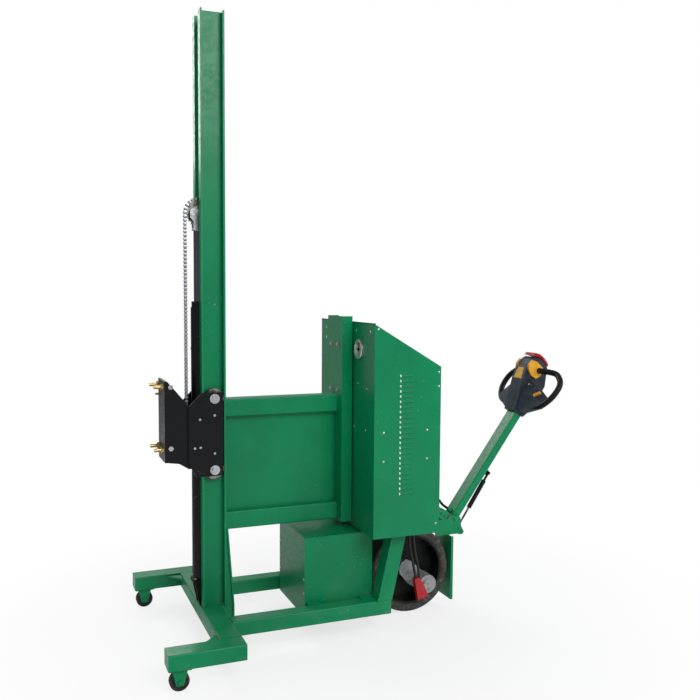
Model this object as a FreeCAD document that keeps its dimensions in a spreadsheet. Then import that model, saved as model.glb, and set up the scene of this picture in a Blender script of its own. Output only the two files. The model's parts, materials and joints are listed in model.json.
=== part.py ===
"""Walkie stacker: a single-mast pedestrian stacker with a chain lift, steered by a tiller over one driven wheel.

Frame: +X runs from the load side to the tiller, -Y is the operator's left, +Z is up, and the floor is z = 0.
All sizes are in millimetres and live in the spreadsheet called Sizes.
"""
import FreeCAD, Part
import math
import os

import Sketcher

Vector = FreeCAD.Vector
doc = FreeCAD.newDocument("WalkieStacker")
sheet = doc.addObject("Spreadsheet::Sheet", "Sizes")

SIZES = {
    # where the mast stands, measured from the middle of the whole machine
    "mast_x": -760.8,
    # base frame: feet, cross beam, rails and rear posts, all cut from box tube
    "base_z": 91.0, "base_height": 63.5, "tube_wall": 4.0, "tube_corner": 6.0,
    "foot_width": 89.0, "base_half_width": 497.0, "toe_reach": 219.0, "heel_reach": 81.0, "beam_width": 89.0,
    "rail_width": 70.0, "rail_half_width": 268.0, "rail_end": 790.0,
    "post_foot": 726.0, "post_depth": 68.0, "post_lean": 66.0,
    "corner_leg": 62.0, "corner_plate": 8.0,
    # casters under the feet
    "caster_radius": 38.0, "caster_width": 32.0, "caster_reach": 172.0, "caster_bore": 6.0,
    "caster_plate": 5.0, "caster_cheek": 4.0, "caster_plate_length": 84.0, "caster_plate_width": 70.0,
    # mast: two channels back to back
    "mast_depth": 101.6, "mast_half_width": 77.0, "mast_top": 2643.0, "flange_width": 40.0,
    "flange_thick": 8.0, "web_thick": 6.0, "tie_thick": 6.0, "tie_height": 70.0,
    "brace_reach": 34.0, "brace_top": 490.0, "brace_thick": 8.0,
    # lift cylinder
    "ram_x": 5.0, "barrel_radius": 34.5, "barrel_bore": 28.5, "barrel_foot": 268.0, "barrel_top": 1432.0,
    "gland_radius": 31.0, "gland_height": 24.0, "rod_radius": 21.0, "rod_end": 590.0, "piston_height": 46.0,
    "slip": 0.06, "clamp_z": 1254.0, "clamp_height": 6.0, "clamp_thick": 2.0,
    "base_flange": 8.0, "seat_plate": 10.0, "seat_leg": 8.0,
    # chain and sprocket
    "sprocket_z": 1827.0, "chain_pitch": 15.875, "sprocket_teeth": 22.0, "sprocket_thick": 8.5,
    "chain_width": 15.0, "chain_height": 14.5, "crosshead_z": 1750.0, "cheek_thick": 11.0, "axle_radius": 9.0,
    "front_chain_end": 1000.0, "rear_chain_end": 1500.0,
    # carriage
    "side_plate": 10.0, "side_gap": 2.0, "carriage_low": 724.0, "carriage_high": 1076.0, "roller_edge": 25.0,
    "roller_radius": 42.3, "roller_width": 29.0, "roller_pin": 12.0, "washer_radius": 20.5,
    "carriage_rear": 86.0, "carriage_nose": 60.0, "tool_plate": 8.0, "face_thick": 10.0, "face_x": 155.0,
    "face_low": 790.0, "face_high": 1129.0, "cross_x": 75.0, "cross_low": 800.0, "cross_high": 985.0,
    "tool_bolt_radius": 8.0, "tool_bolt_y": 55.0, "tool_bolt_low": 842.0, "tool_bolt_high": 1104.0,
    # spine between the mast and the rear upright
    "spine_tube": 76.2, "spine_high": 1040.0, "spine_low": 474.0, "spine_panel": 6.0,
    "upright_x": 621.0, "upright_depth": 49.0, "upright_half_width": 89.0, "upright_thick": 8.0,
    "upright_low": 471.0, "upright_high": 1392.0,
    # control cabinet
    "cabinet_x": 676.0, "cabinet_length": 314.0, "cabinet_half_width": 325.0, "cabinet_low": 450.0,
    "cabinet_high": 1366.0, "cabinet_rear_high": 1180.0, "sheet_thick": 3.0, "deck_thick": 12.0,
    "gauge_y": -158.0, "gauge_z": 1250.0, "gauge_radius": 44.0,
    # battery box
    "box_x": 418.0, "box_length": 316.0, "box_half_width": 182.0, "box_low": 95.0, "box_high": 444.0,
    # steering, drive wheel and tiller
    "steer_x": 980.0, "wheel_radius": 200.0, "wheel_width": 130.0, "tyre_thick": 37.0, "yoke_plate": 18.0,
    "yoke_z": 407.0, "axle_boss": 34.0, "motor_radius": 43.0, "motor_x": 80.0, "motor_z": -70.0,
    "skirt_x": 206.0, "skirt_half_width": 82.0, "skirt_flange": 12.0, "skirt_thick": 5.0, "skirt_low": 37.0,
    "bracket_gap": 40.0, "bracket_thick": 8.0, "pivot_x": 246.0, "pivot_z": 415.0, "pivot_radius": 8.0,
    "arm_angle": 54.5, "arm_length": 600.0, "arm_width": 76.0, "arm_depth": 38.0, "arm_wall": 3.0,
    "knuckle_x": 181.0, "knuckle_radius": 24.0, "outlet_z": 505.0, "outlet_half_width": 36.0, "cable_radius": 6.0,
    "bearing_radius": 90.0, "bearing_gap": 0.3, "yoke_half_width": 95.0, "yoke_reach": 120.0, "axle_radius_drive": 30.0,
    # gas spring between the bracket and the arm, measured from the arm's pivot
    "spring_foot_x": 34.0, "spring_foot_z": -65.0, "spring_head_x": 206.0, "spring_head_z": 198.0,
    "spring_tube": 11.0, "spring_rod": 5.0, "spring_start": 119.0, "spring_end": 271.0,
    # control head, measured from the arm's end
    "head_half_width": 46.0, "shoulder_reach": 180.0, "loop_reach": 228.0, "loop_radius": 14.0,
    "throttle_x": 232.0, "throttle_z": 42.0, "throttle_thick": 13.0, "button_travel": 6.0, "button_half_width": 42.0,
}


class Size:
    """A length that carries both its value and the spreadsheet expression that gives it."""

    def __init__(self, value, text):
        self.value = float(value)
        self.text = text

    def __add__(self, other):
        return Size(self.value + number(other), "(%s + %s)" % (self.text, words(other)))

    def __sub__(self, other):
        return Size(self.value - number(other), "(%s - %s)" % (self.text, words(other)))

    def __mul__(self, other):
        return Size(self.value * number(other), "(%s * %s)" % (self.text, words(other)))

    def __truediv__(self, other):
        return Size(self.value / number(other), "(%s / %s)" % (self.text, words(other)))

    def __radd__(self, other):
        return Size(number(other) + self.value, "(%s + %s)" % (words(other), self.text))

    def __rsub__(self, other):
        return Size(number(other) - self.value, "(%s - %s)" % (words(other), self.text))

    def __rmul__(self, other):
        return Size(number(other) * self.value, "(%s * %s)" % (words(other), self.text))

    def __neg__(self):
        return Size(-self.value, "(0 - %s)" % self.text)


def number(value):
    return value.value if isinstance(value, Size) else float(value)


def words(value):
    return value.text if isinstance(value, Size) else "(%.6f)" % value


class Sizes:
    """Every cell of the sheet as a Size, so that s.mast_depth / 2 is a number and an expression at once."""

    def __init__(self, table):
        for row, (alias, value) in enumerate(table.items(), start=1):
            cell = "A%d" % row
            sheet.set(cell, "%.4f" % value)
            sheet.setAlias(cell, alias)
            setattr(self, alias, Size(value, "Sizes." + alias))


s = Sizes(SIZES)
doc.recompute()
members = {}


def bind(item, path, value):
    """Set a property, and tie it to the sheet when its value comes from there."""
    if isinstance(value, Size):
        item.setExpression(path, value.text)
    elif "." not in path:
        setattr(item, path, value)


def place(item, x, y, z, rotation=None):
    """Put an object at a point, with each coordinate tied to the sheet."""
    item.Placement = FreeCAD.Placement(Vector(number(x), number(y), number(z)), rotation or FreeCAD.Rotation())
    for letter, value in zip("xyz", (x, y, z)):
        if isinstance(value, Size):
            item.setExpression("Placement.Base." + letter, value.text)


def node(item, label):
    """Add a solid, or a set of solids, to the sub-part that is written under this name."""
    members.setdefault(label, []).append(item)
    return item


ALONG = {
    "x": FreeCAD.Rotation(Vector(0, 1, 0), 90),
    "y": FreeCAD.Rotation(Vector(1, 0, 0), -90),
    "z": FreeCAD.Rotation(),
}


def block(x, y, z, length, width, height):
    """A plain box from its lowest corner."""
    item = doc.addObject("Part::Box", "block")
    for path, value in (("Length", length), ("Width", width), ("Height", height)):
        bind(item, path, value)
    place(item, x, y, z)
    return item


def rod(axis, x, y, z, radius, length):
    """A round bar that starts at a point and runs along +X, +Y or +Z."""
    item = doc.addObject("Part::Cylinder", "rod")
    bind(item, "Radius", radius)
    bind(item, "Height", length)
    place(item, x, y, z, ALONG[axis])
    return item


def cut(base, *tools):
    """The base with every tool taken away."""
    for tool in tools:
        item = doc.addObject("Part::Cut", "cut")
        item.Base = base
        item.Tool = tool
        base = item
    return base


def fuse(*items):
    item = doc.addObject("Part::MultiFuse", "fuse")
    item.Shapes = list(items)
    return item


def group(*items):
    """Separate solids kept in one node."""
    item = doc.addObject("Part::Compound", "group")
    item.Links = list(items)
    return item


def origin_plane(body, role):
    return next(item for item in body.Origin.OriginFeatures if item.Role == role)


def draw_outline(sketch, points):
    """Closed outline of straight lines whose corners are each pinned to a pair of coordinates."""
    first = sketch.GeometryCount
    count = len(points)
    flat = [(number(a), number(b)) for a, b in points]
    for index in range(count):
        start = flat[index]
        end = flat[(index + 1) % count]
        sketch.addGeometry(Part.LineSegment(Vector(start[0], start[1], 0), Vector(end[0], end[1], 0)))
    for index in range(count):
        here = first + index
        after = first + (index + 1) % count
        sketch.addConstraint(Sketcher.Constraint("Coincident", here, 2, after, 1))
    for index, pair in enumerate(points):
        for kind, value in zip(("DistanceX", "DistanceY"), pair):
            mark = sketch.addConstraint(Sketcher.Constraint(kind, -1, 1, first + index, 1, number(value)))
            if isinstance(value, Size):
                sketch.setExpression("Constraints[%d]" % mark, value.text)


def draw_circle(sketch, a, b, radius):
    mark = sketch.addGeometry(Part.Circle(Vector(number(a), number(b), 0), Vector(0, 0, 1), number(radius)))
    for kind, value in (("DistanceX", a), ("DistanceY", b)):
        place_mark = sketch.addConstraint(Sketcher.Constraint(kind, -1, 1, mark, 3, number(value)))
        if isinstance(value, Size):
            sketch.setExpression("Constraints[%d]" % place_mark, value.text)
    size_mark = sketch.addConstraint(Sketcher.Constraint("Radius", mark, number(radius)))
    if isinstance(radius, Size):
        sketch.setExpression("Constraints[%d]" % size_mark, radius.text)


# the plane that each extrusion is drawn on, and the sign of its normal along the extrusion axis
PLANES = {"x": ("YZ_Plane", 1), "y": ("XZ_Plane", -1), "z": ("XY_Plane", 1)}


def prism(axis, start, length, outlines, circles=(), corners=(), corner_radius=None):
    """A sketched section carried along an axis from start; listed corners of the section are rounded."""
    body = doc.addObject("PartDesign::Body", "body")
    sketch = body.newObject("Sketcher::SketchObject", "section")
    plane, sign = PLANES[axis]
    sketch.AttachmentSupport = [(origin_plane(body, plane), "")]
    sketch.MapMode = "FlatFace"
    base = start if sign > 0 else -(start + length)
    if isinstance(base, Size):
        sketch.setExpression("AttachmentOffset.Base.z", base.text)
    else:
        sketch.AttachmentOffset = FreeCAD.Placement(Vector(0, 0, base), FreeCAD.Rotation())
    for outline in outlines:
        draw_outline(sketch, outline)
    for a, b, radius in circles:
        draw_circle(sketch, a, b, radius)
    pad = body.newObject("PartDesign::Pad", "pad")
    pad.Profile = sketch
    bind(pad, "Length", length)
    sketch.Visibility = False
    if corners:
        doc.recompute()
        names = corner_edges(pad.Shape, axis, [(number(a), number(b)) for a, b in corners])
        fillet = body.newObject("PartDesign::Fillet", "rounding")
        fillet.Base = (pad, names)
        bind(fillet, "Radius", corner_radius)
    return body


def corner_edges(shape, axis, spots):
    """Names of the straight edges that run along the axis through the given section points."""
    order = {"x": ("y", "z"), "y": ("x", "z"), "z": ("x", "y")}[axis]
    names = []
    for index, edge in enumerate(shape.Edges, start=1):
        ends = [vertex.Point for vertex in edge.Vertexes]
        if len(ends) != 2:
            continue
        sides = [(getattr(end, order[0]), getattr(end, order[1])) for end in ends]
        for spot in spots:
            if all(math.dist(side, spot) < 0.01 for side in sides):
                names.append("Edge%d" % index)
    return names


def turned(axis, x, y, z, profile, rotation=None):
    """A turned piece: (radius, height) corners revolved about an axis through a point."""
    body = doc.addObject("PartDesign::Body", "turned")
    sketch = body.newObject("Sketcher::SketchObject", "profile")
    sketch.AttachmentSupport = [(origin_plane(body, "XZ_Plane"), "")]
    sketch.MapMode = "FlatFace"
    draw_outline(sketch, profile)
    spin = body.newObject("PartDesign::Revolution", "revolution")
    spin.Profile = sketch
    spin.ReferenceAxis = (sketch, ["V_Axis"])
    spin.Angle = 360
    sketch.Visibility = False
    place(body, x, y, z, rotation or ALONG[axis])
    return body


def rectangle(a0, b0, a1, b1):
    return [(a0, b0), (a1, b0), (a1, b1), (a0, b1)]


def box_tube(axis, start, length, a0, b0, a1, b1, wall, corner):
    """Rectangular hollow section with rounded outside corners."""
    outer = rectangle(a0, b0, a1, b1)
    inner = rectangle(a0 + wall, b0 + wall, a1 - wall, b1 - wall)
    return prism(axis, start, length, [outer, inner], corners=outer, corner_radius=corner)


def shaped(label, shape):
    """A sub-part whose shape is worked out directly from the sheet's values."""
    item = doc.addObject("Part::Feature", "solid")
    item.Shape = shape
    return node(item, label)


SIDES = (("left", -1), ("right", 1))
x0 = s.mast_x
base_top = s.base_z + s.base_height


def side_span(side, inner, outer):
    """The lowest and highest y of a band that lies between two distances from the centre plane."""
    return (inner, outer) if side > 0 else (-outer, -inner)


def hexagon_head(across, height):
    """A hexagon of a given width across flats, standing on z = 0."""
    corner = across / math.sqrt(3)
    points = [Vector(corner * math.cos(k * math.pi / 3), corner * math.sin(k * math.pi / 3), 0) for k in range(7)]
    return Part.Face(Part.makePolygon(points)).extrude(Vector(0, 0, height))


def screw(head_radius, head_height, washer_radius=0.0, washer_height=0.0, shank_radius=0.0, shank_length=0.0):
    """A hexagon screw whose head stands on z = 0; washer first, shank below."""
    shape = hexagon_head(head_radius * math.sqrt(3), head_height)
    shape.translate(Vector(0, 0, washer_height))
    if washer_height:
        shape = shape.fuse(Part.makeCylinder(washer_radius, washer_height))
    if shank_length:
        shape = shape.fuse(Part.makeCylinder(shank_radius, shank_length, Vector(0, 0, -shank_length)))
    return shape


def button_head(radius, height):
    """A low domed screw head standing on z = 0."""
    ball = (radius ** 2 + height ** 2) / (2 * height)
    dome = Part.makeSphere(ball, Vector(0, 0, height - ball))
    return dome.common(Part.makeCylinder(radius, height))


TURNS = {"+x": (Vector(0, 1, 0), 90), "-x": (Vector(0, 1, 0), -90), "+y": (Vector(1, 0, 0), -90),
         "-y": (Vector(1, 0, 0), 90), "+z": (Vector(0, 0, 1), 0), "-z": (Vector(1, 0, 0), 180)}


def spread(label, shape, spots):
    """One node that holds a copy of a fastener at each (x, y, z, direction)."""
    copies = []
    for x, y, z, way in spots:
        axis, angle = TURNS[way]
        copy = shape.copy()
        copy.Placement = FreeCAD.Placement(Vector(number(x), number(y), number(z)), FreeCAD.Rotation(axis, angle))
        copies.append(copy)
    return shaped(label, Part.makeCompound(copies))


# ---------------------------------------------------------------- base frame
def build_base():
    foot_inner = s.base_half_width - s.foot_width
    beam_front = x0 + s.heel_reach - s.beam_width
    node(box_tube("y", -foot_inner, 2 * foot_inner, beam_front, s.base_z, x0 + s.heel_reach, base_top,
                  s.tube_wall, s.tube_corner), "cross_beam")
    gussets = []
    for name, side in SIDES:
        low, high = side_span(side, foot_inner, s.base_half_width)
        node(box_tube("x", x0 - s.toe_reach, s.toe_reach + s.heel_reach, low, s.base_z, high, base_top,
                      s.tube_wall, s.tube_corner), "feet")
        for x in (x0 - s.toe_reach, x0 + s.heel_reach - s.tube_wall):
            node(block(x, low + s.tube_wall, s.base_z + s.tube_wall, s.tube_wall,
                       s.foot_width - 2 * s.tube_wall, s.base_height - 2 * s.tube_wall), "feet")
        corner = [(beam_front, side * foot_inner), (beam_front - s.corner_leg, side * foot_inner),
                  (beam_front, side * (foot_inner - s.corner_leg))]
        gussets.append(prism("z", base_top - 2 * s.corner_plate, s.corner_plate, [corner]))
        low, high = side_span(side, s.rail_half_width - s.rail_width, s.rail_half_width)
        node(box_tube("x", x0 + s.heel_reach, s.rail_end - s.heel_reach, low, s.base_z, high, base_top,
                      s.tube_wall, s.tube_corner), "base_rails")
        node(block(x0 + s.rail_end - s.tube_wall, low + s.tube_wall, s.base_z + s.tube_wall, s.tube_wall,
                   s.rail_width - 2 * s.tube_wall, s.base_height - 2 * s.tube_wall), "base_rails")
        build_post(name, low)
    node(group(*gussets), "cross_beam")


def build_post(name, low):
    """A leaning box tube from the end of a base rail up to the cabinet's deck."""
    foot = x0 + s.post_foot
    head = foot + s.post_lean
    outer = [(foot, base_top), (foot + s.post_depth, base_top), (head + s.post_depth, s.cabinet_low),
             (head, s.cabinet_low)]
    wall = s.tube_wall
    inner = [(foot + wall, base_top), (foot + s.post_depth - wall, base_top),
             (head + s.post_depth - wall, s.cabinet_low), (head + wall, s.cabinet_low)]
    solid = prism("y", low, s.rail_width, [outer])
    hollow = prism("y", low + wall, s.rail_width - 2 * wall, [inner])
    node(cut(solid, hollow), "rear_posts")


# ---------------------------------------------------------------- casters
caster_x = x0 - s.caster_reach
caster_y = s.base_half_width - s.foot_width / 2


def build_casters():
    forks = []
    spots = []
    half_gap = s.caster_width / 2 + 2
    for name, side in SIDES:
        middle = side * caster_y
        top = block(caster_x - s.caster_plate_length / 2, middle - s.caster_plate_width / 2,
                    s.base_z - s.caster_plate, s.caster_plate_length, s.caster_plate_width, s.caster_plate)
        parts = [top]
        for way in (-1, 1):
            low, high = side_span(way, half_gap, half_gap + s.caster_cheek)
            cheek = [(caster_x - 14, s.caster_radius - 14), (caster_x + 14, s.caster_radius - 14),
                     (caster_x + 30, s.base_z - s.caster_plate), (caster_x - 30, s.base_z - s.caster_plate)]
            parts.append(prism("y", middle + low, s.caster_cheek, [cheek],
                               circles=[(caster_x, s.caster_radius, s.caster_bore + s.slip)]))
            spots.append((caster_x, middle + way * (half_gap + s.caster_cheek), s.caster_radius,
                          "+y" if way > 0 else "-y"))
        forks.append(fuse(*parts))
        node(turned("y", caster_x, middle, s.caster_radius, [
            (s.caster_bore + s.slip, -s.caster_width / 2 - 1), (s.caster_bore + 6, -s.caster_width / 2 - 1),
            (s.caster_bore + 6, 3 - s.caster_width / 2), (s.caster_radius - 9, 3 - s.caster_width / 2),
            (s.caster_radius - 9, -s.caster_width / 2), (s.caster_radius - 2, -s.caster_width / 2),
            (s.caster_radius, 4 - s.caster_width / 2), (s.caster_radius, s.caster_width / 2 - 4),
            (s.caster_radius - 2, s.caster_width / 2), (s.caster_radius - 9, s.caster_width / 2),
            (s.caster_radius - 9, s.caster_width / 2 - 3), (s.caster_bore + 6, s.caster_width / 2 - 3),
            (s.caster_bore + 6, s.caster_width / 2 + 1), (s.caster_bore + s.slip, s.caster_width / 2 + 1)]),
            "caster_wheel_" + name)
    node(group(*forks), "caster_forks")
    heads = screw(9.0, 6.0, shank_radius=number(s.caster_bore),
                  shank_length=number(half_gap + s.caster_cheek))
    spread("caster_forks", heads, spots)


# ---------------------------------------------------------------- mast
web_back = s.mast_half_width - s.flange_width


def build_mast():
    rear = x0 + s.mast_depth
    braces = []
    for name, side in SIDES:
        toe, back = side * s.mast_half_width, side * web_back
        web = side * (web_back + s.web_thick)
        outline = [(x0, toe), (x0 + s.flange_thick, toe), (x0 + s.flange_thick, web), (rear - s.flange_thick, web),
                   (rear - s.flange_thick, toe), (rear, toe), (rear, back), (x0, back)]
        node(prism("z", base_top, s.mast_top - base_top, [outline]), "mast_channels")
        foot = rear + s.brace_reach
        low, high = side_span(side, s.mast_half_width - 2 * s.brace_thick, s.mast_half_width - s.brace_thick)
        rib = [(rear, s.brace_top), (rear + 2, s.brace_top), (foot - 6, base_top), (foot - 6, s.base_z),
               (x0 + s.heel_reach, s.base_z), (x0 + s.heel_reach, base_top), (rear, base_top)]
        low_strip, high_strip = side_span(side, s.mast_half_width - 22, s.mast_half_width)
        strip = [(rear + 2, s.brace_top), (rear + 8, s.brace_top), (foot, base_top), (foot, s.base_z),
                 (foot - 6, s.base_z), (foot - 6, base_top)]
        braces.append(fuse(prism("y", low, s.brace_thick, [rib]), prism("y", low_strip, 22.0, [strip])))
    node(group(*braces), "mast_plates")
    ties = [block(rear - s.flange_thick, -web_back, z, s.tie_thick, 2 * web_back, s.tie_height)
            for z in (s.mast_top - 95.0, s.mast_top - 560.0, s.mast_top - 1080.0)]
    node(group(*ties), "mast_plates")


# ---------------------------------------------------------------- lift cylinder
ram_x = x0 + s.ram_x
chain_radius = s.chain_pitch * (0.5 / math.sin(math.pi / SIZES["sprocket_teeth"]))
front_chain_x = ram_x - chain_radius
rear_chain_x = ram_x + chain_radius


def ring(axis, x, y, z, inner, outer, length):
    """A plain ring or sleeve."""
    return turned(axis, x, y, z, [(inner, 0.0), (outer, 0.0), (outer, length), (inner, length)])


def build_cylinder():
    seat_low = s.barrel_foot - s.base_flange - s.seat_plate
    plate = block(ram_x - 37, 1 - web_back, seat_low, 77.0, 2 * web_back - 2, s.seat_plate)
    legs = []
    for side in (-1, 1):
        low, high = side_span(side, web_back - 3 - s.seat_leg, web_back - 3)
        leg = [(x0 - 6, base_top), (x0 + 40, base_top), (x0 + 40, seat_low), (x0 - 26, seat_low)]
        legs.append(prism("y", low, s.seat_leg, [leg]))
    node(fuse(plate, *legs), "cylinder_seat")
    node(cut(block(ram_x - 34, -34.0, s.barrel_foot - s.base_flange, 68.0, 68.0, s.base_flange)), "cylinder_barrel")
    seat_bolts = [(ram_x + x, y, s.barrel_foot, "+z") for x in (-27.5, 27.5) for y in (-27.5, 27.5)]
    spread("frame_bolts", screw(5.0, 4.5), seat_bolts)
    height = s.barrel_top - s.barrel_foot
    floor = 14.0
    node(turned("z", ram_x, 0.0, s.barrel_foot, [(0.0, 0.0), (s.barrel_radius - 1, 0.0), (s.barrel_radius - 1, 6.0),
         (s.barrel_radius, 7.0), (s.barrel_radius, height), (s.barrel_bore, height), (s.barrel_bore, floor),
         (0.0, floor)]), "cylinder_barrel")
    node(ring("z", ram_x, 0.0, s.barrel_top, s.rod_radius + s.slip, s.gland_radius, s.gland_height), "cylinder_barrel")
    band = ring("z", ram_x, 0.0, s.clamp_z, s.barrel_radius + s.slip, s.barrel_radius + s.clamp_thick,
                s.clamp_height)
    ear = block(ram_x + s.barrel_radius + 1, -3.0, s.clamp_z, 13.0, 6.0, s.clamp_height)
    node(fuse(band, ear), "cylinder_barrel")
    rod_start = s.rod_end + s.piston_height
    node(rod("z", ram_x, 0.0, rod_start, s.rod_radius, s.crosshead_z - rod_start), "piston_rod")
    node(rod("z", ram_x, 0.0, s.rod_end, s.barrel_bore - s.slip, s.piston_height), "piston_rod")


def build_crosshead():
    """The fork on top of the rod, with the chain sprocket between its cheeks."""
    cheek_in = s.chain_width / 2 + 2.5
    cheek_out = cheek_in + s.cheek_thick
    bottom = s.crosshead_z
    collar = rod("z", ram_x, 0.0, bottom, s.rod_radius + 3, 6.0)
    bridge = block(ram_x - 24, -cheek_out, bottom + 2, 48.0, 2 * cheek_out, 12.0)
    cheeks = []
    for side in (-1, 1):
        low, high = side_span(side, cheek_in, cheek_out)
        cheek = [(ram_x - 24, bottom + 2), (ram_x + 24, bottom + 2), (ram_x + 26, s.sprocket_z + 16),
                 (ram_x + 14, s.sprocket_z + 28), (ram_x - 8, s.sprocket_z + 28), (ram_x - 38, s.sprocket_z + 8),
                 (ram_x - 38, s.sprocket_z - 22), (ram_x - 24, s.sprocket_z - 38)]
        cheeks.append(prism("y", low, s.cheek_thick, [cheek],
                            circles=[(ram_x, s.sprocket_z, s.axle_radius + s.slip)]))
    node(fuse(collar, bridge, *cheeks), "crosshead")
    reach = number(cheek_out)
    pin = Part.makeCylinder(number(s.axle_radius), 2 * reach, Vector(0, 0, -2 * reach))
    head = hexagon_head(26.0, 9.0)
    nut = hexagon_head(26.0, 8.0)
    nut.translate(Vector(0, 0, -2 * reach - 8.0))
    spread("sprocket_axle", head.fuse([pin, nut]), [(ram_x, -cheek_out, s.sprocket_z, "-y")])
    spread("sprocket_axle", screw(6.0, 5.0, 8.0, 1.5), [
        (ram_x - 29, -cheek_out, s.sprocket_z - 10, "-y"), (ram_x - 29, cheek_out, s.sprocket_z - 10, "+y")])
    shaped("chain_sprocket", sprocket_shape())
    build_chain()


def sprocket_shape():
    """A chain wheel: one rounded-off tooth for each pitch, a raised hub and a running bore."""
    teeth = int(SIZES["sprocket_teeth"])
    pitch_radius = number(chain_radius)
    tip, root = pitch_radius + 4.2, pitch_radius - 5.3
    # a tooth in tenths of the pitch angle: root, flank, tip, flank
    outline = [(0.20, root), (0.36, pitch_radius), (0.44, tip), (0.56, tip), (0.64, pitch_radius), (0.80, root)]
    points = []
    for tooth in range(teeth):
        for share, radius in outline:
            angle = 2 * math.pi * (tooth + share) / teeth
            points.append(Vector(radius * math.cos(angle), 0, radius * math.sin(angle)))
    points.append(points[0])
    half = number(s.sprocket_thick) / 2
    disc = Part.Face(Part.makePolygon(points)).extrude(Vector(0, 2 * half, 0))
    disc.translate(Vector(0, -half, 0))
    hub_half = number(s.chain_width) / 2 + 1.5
    along = Vector(0, 1, 0)
    hub = Part.makeCylinder(19.0, 2 * hub_half, Vector(0, -hub_half, 0), along)
    bore = Part.makeCylinder(number(s.axle_radius + s.slip), 4 * hub_half, Vector(0, -2 * hub_half, 0), along)
    wheel = disc.fuse(hub).cut(bore)
    wheel.translate(Vector(number(ram_x), 0, number(s.sprocket_z)))
    return wheel


def build_chain():
    """Both strands and the turn over the sprocket, as two rows of side plates with the teeth between them."""
    plate_in = s.sprocket_thick / 2 + 0.6
    plate_thick = s.chain_width / 2 - plate_in
    for label, x, end in (("chain_front", front_chain_x, s.front_chain_end),
                          ("chain_rear", rear_chain_x, s.rear_chain_end)):
        rows = []
        for side in (-1, 1):
            low, high = side_span(side, plate_in, plate_in + plate_thick)
            rows.append(block(x - s.chain_height / 2, low, end, s.chain_height, plate_thick, s.sprocket_z - end))
        node(group(*rows), label)
    rows = []
    for side in (-1, 1):
        low, high = side_span(side, plate_in, plate_in + plate_thick)
        outer = rod("y", ram_x, low, s.sprocket_z, chain_radius + s.chain_height / 2, plate_thick)
        inner = rod("y", ram_x, low - 1, s.sprocket_z, chain_radius - s.chain_height / 2, plate_thick + 2)
        below = block(ram_x - 100, low - 1, s.sprocket_z - 100, 200.0, plate_thick + 2, 100.0)
        rows.append(cut(outer, inner, below))
    node(group(*rows), "chain_turn")
    shelf = block(x0 + 42, -web_back, s.rear_chain_end - 40, 48.0, 2 * web_back, 12.0)
    hole = rod("z", rear_chain_x, 0.0, s.rear_chain_end - 60, 6 + s.slip, 60.0)
    node(cut(shelf, hole), "chain_anchor_rear")
    anchors = (("chain_anchor_rear", rear_chain_x, s.rear_chain_end, s.rear_chain_end - 28, 60.0),
               ("cross_plate", front_chain_x, s.front_chain_end, s.cross_low + 92, 205.0))
    for label, x, end, shelf_top, stem in anchors:
        nut = Part.makeCylinder(11.0, 8.0, Vector(0, 0, -number(end - shelf_top)))
        bolt = Part.makeCylinder(6.0, stem, Vector(0, 0, -stem))
        eye = Part.makeBox(12.0, 7.6, 14.0, Vector(-6.0, -3.8, -2.0))
        spread(label, bolt.fuse([nut, eye]), [(x, 0.0, end, "+z")])


# ---------------------------------------------------------------- carriage
plate_in = s.mast_half_width + s.side_gap
plate_out = plate_in + s.side_plate
roller_x = x0 + s.mast_depth / 2
roller_low = s.carriage_low + s.roller_edge
roller_high = s.carriage_high - s.roller_edge


def build_carriage():
    nose = x0 - s.carriage_nose
    rear = x0 + s.carriage_rear
    for name, side in SIDES:
        low, high = side_span(side, plate_in, plate_out)
        outline = [(rear, s.carriage_high), (x0 - 4, s.carriage_high), (nose, s.carriage_high - 58),
                   (nose, s.carriage_low + 60), (x0 - 28, s.carriage_low), (rear, s.carriage_low)]
        holes = [(roller_x, z, s.roller_pin + s.slip) for z in (roller_low, roller_high)]
        node(prism("y", low, s.side_plate, [outline], circles=holes), "carriage_plates")
        low, high = side_span(side, plate_in - s.tool_plate, plate_in)
        front = x0 - s.face_x + s.face_thick
        arm = [(front, s.face_high), (x0 - 8, s.face_high - 162), (x0 - 8, s.carriage_low + 36),
               (x0 - 60, s.carriage_low + 36), (x0 - 97, s.face_low - 7), (front, s.face_low)]
        node(prism("y", low, s.tool_plate, [arm]), "tool_arms")
    face = prism("x", x0 - s.face_x, s.face_thick, [rectangle(-plate_in, s.face_low, plate_in, s.face_high)],
                 circles=[(y, z, s.tool_bolt_radius + s.slip) for y in (-s.tool_bolt_y, s.tool_bolt_y)
                          for z in (s.tool_bolt_low, s.tool_bolt_high)])
    node(face, "face_plate")
    cross_half = plate_in - s.tool_plate
    wall = block(x0 - s.cross_x, -cross_half, s.cross_low, s.tool_plate, 2 * cross_half,
                 s.cross_high - s.cross_low)
    shelf = block(x0 - s.cross_x + s.tool_plate - 1, -22.0, s.cross_low + 68, 28.0, 44.0, 24.0)
    hole = rod("z", front_chain_x, 0.0, s.cross_low, 6 + s.slip, 120.0)
    node(cut(fuse(wall, shelf), hole), "cross_plate")
    tube_low = s.face_low + 2
    node(box_tube("y", -cross_half, 2 * cross_half, x0 - 126, tube_low, x0 - 88, tube_low + 38, 4.0, 4.0),
         "cross_plate")
    build_rollers()
    build_carriage_bolts()


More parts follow.
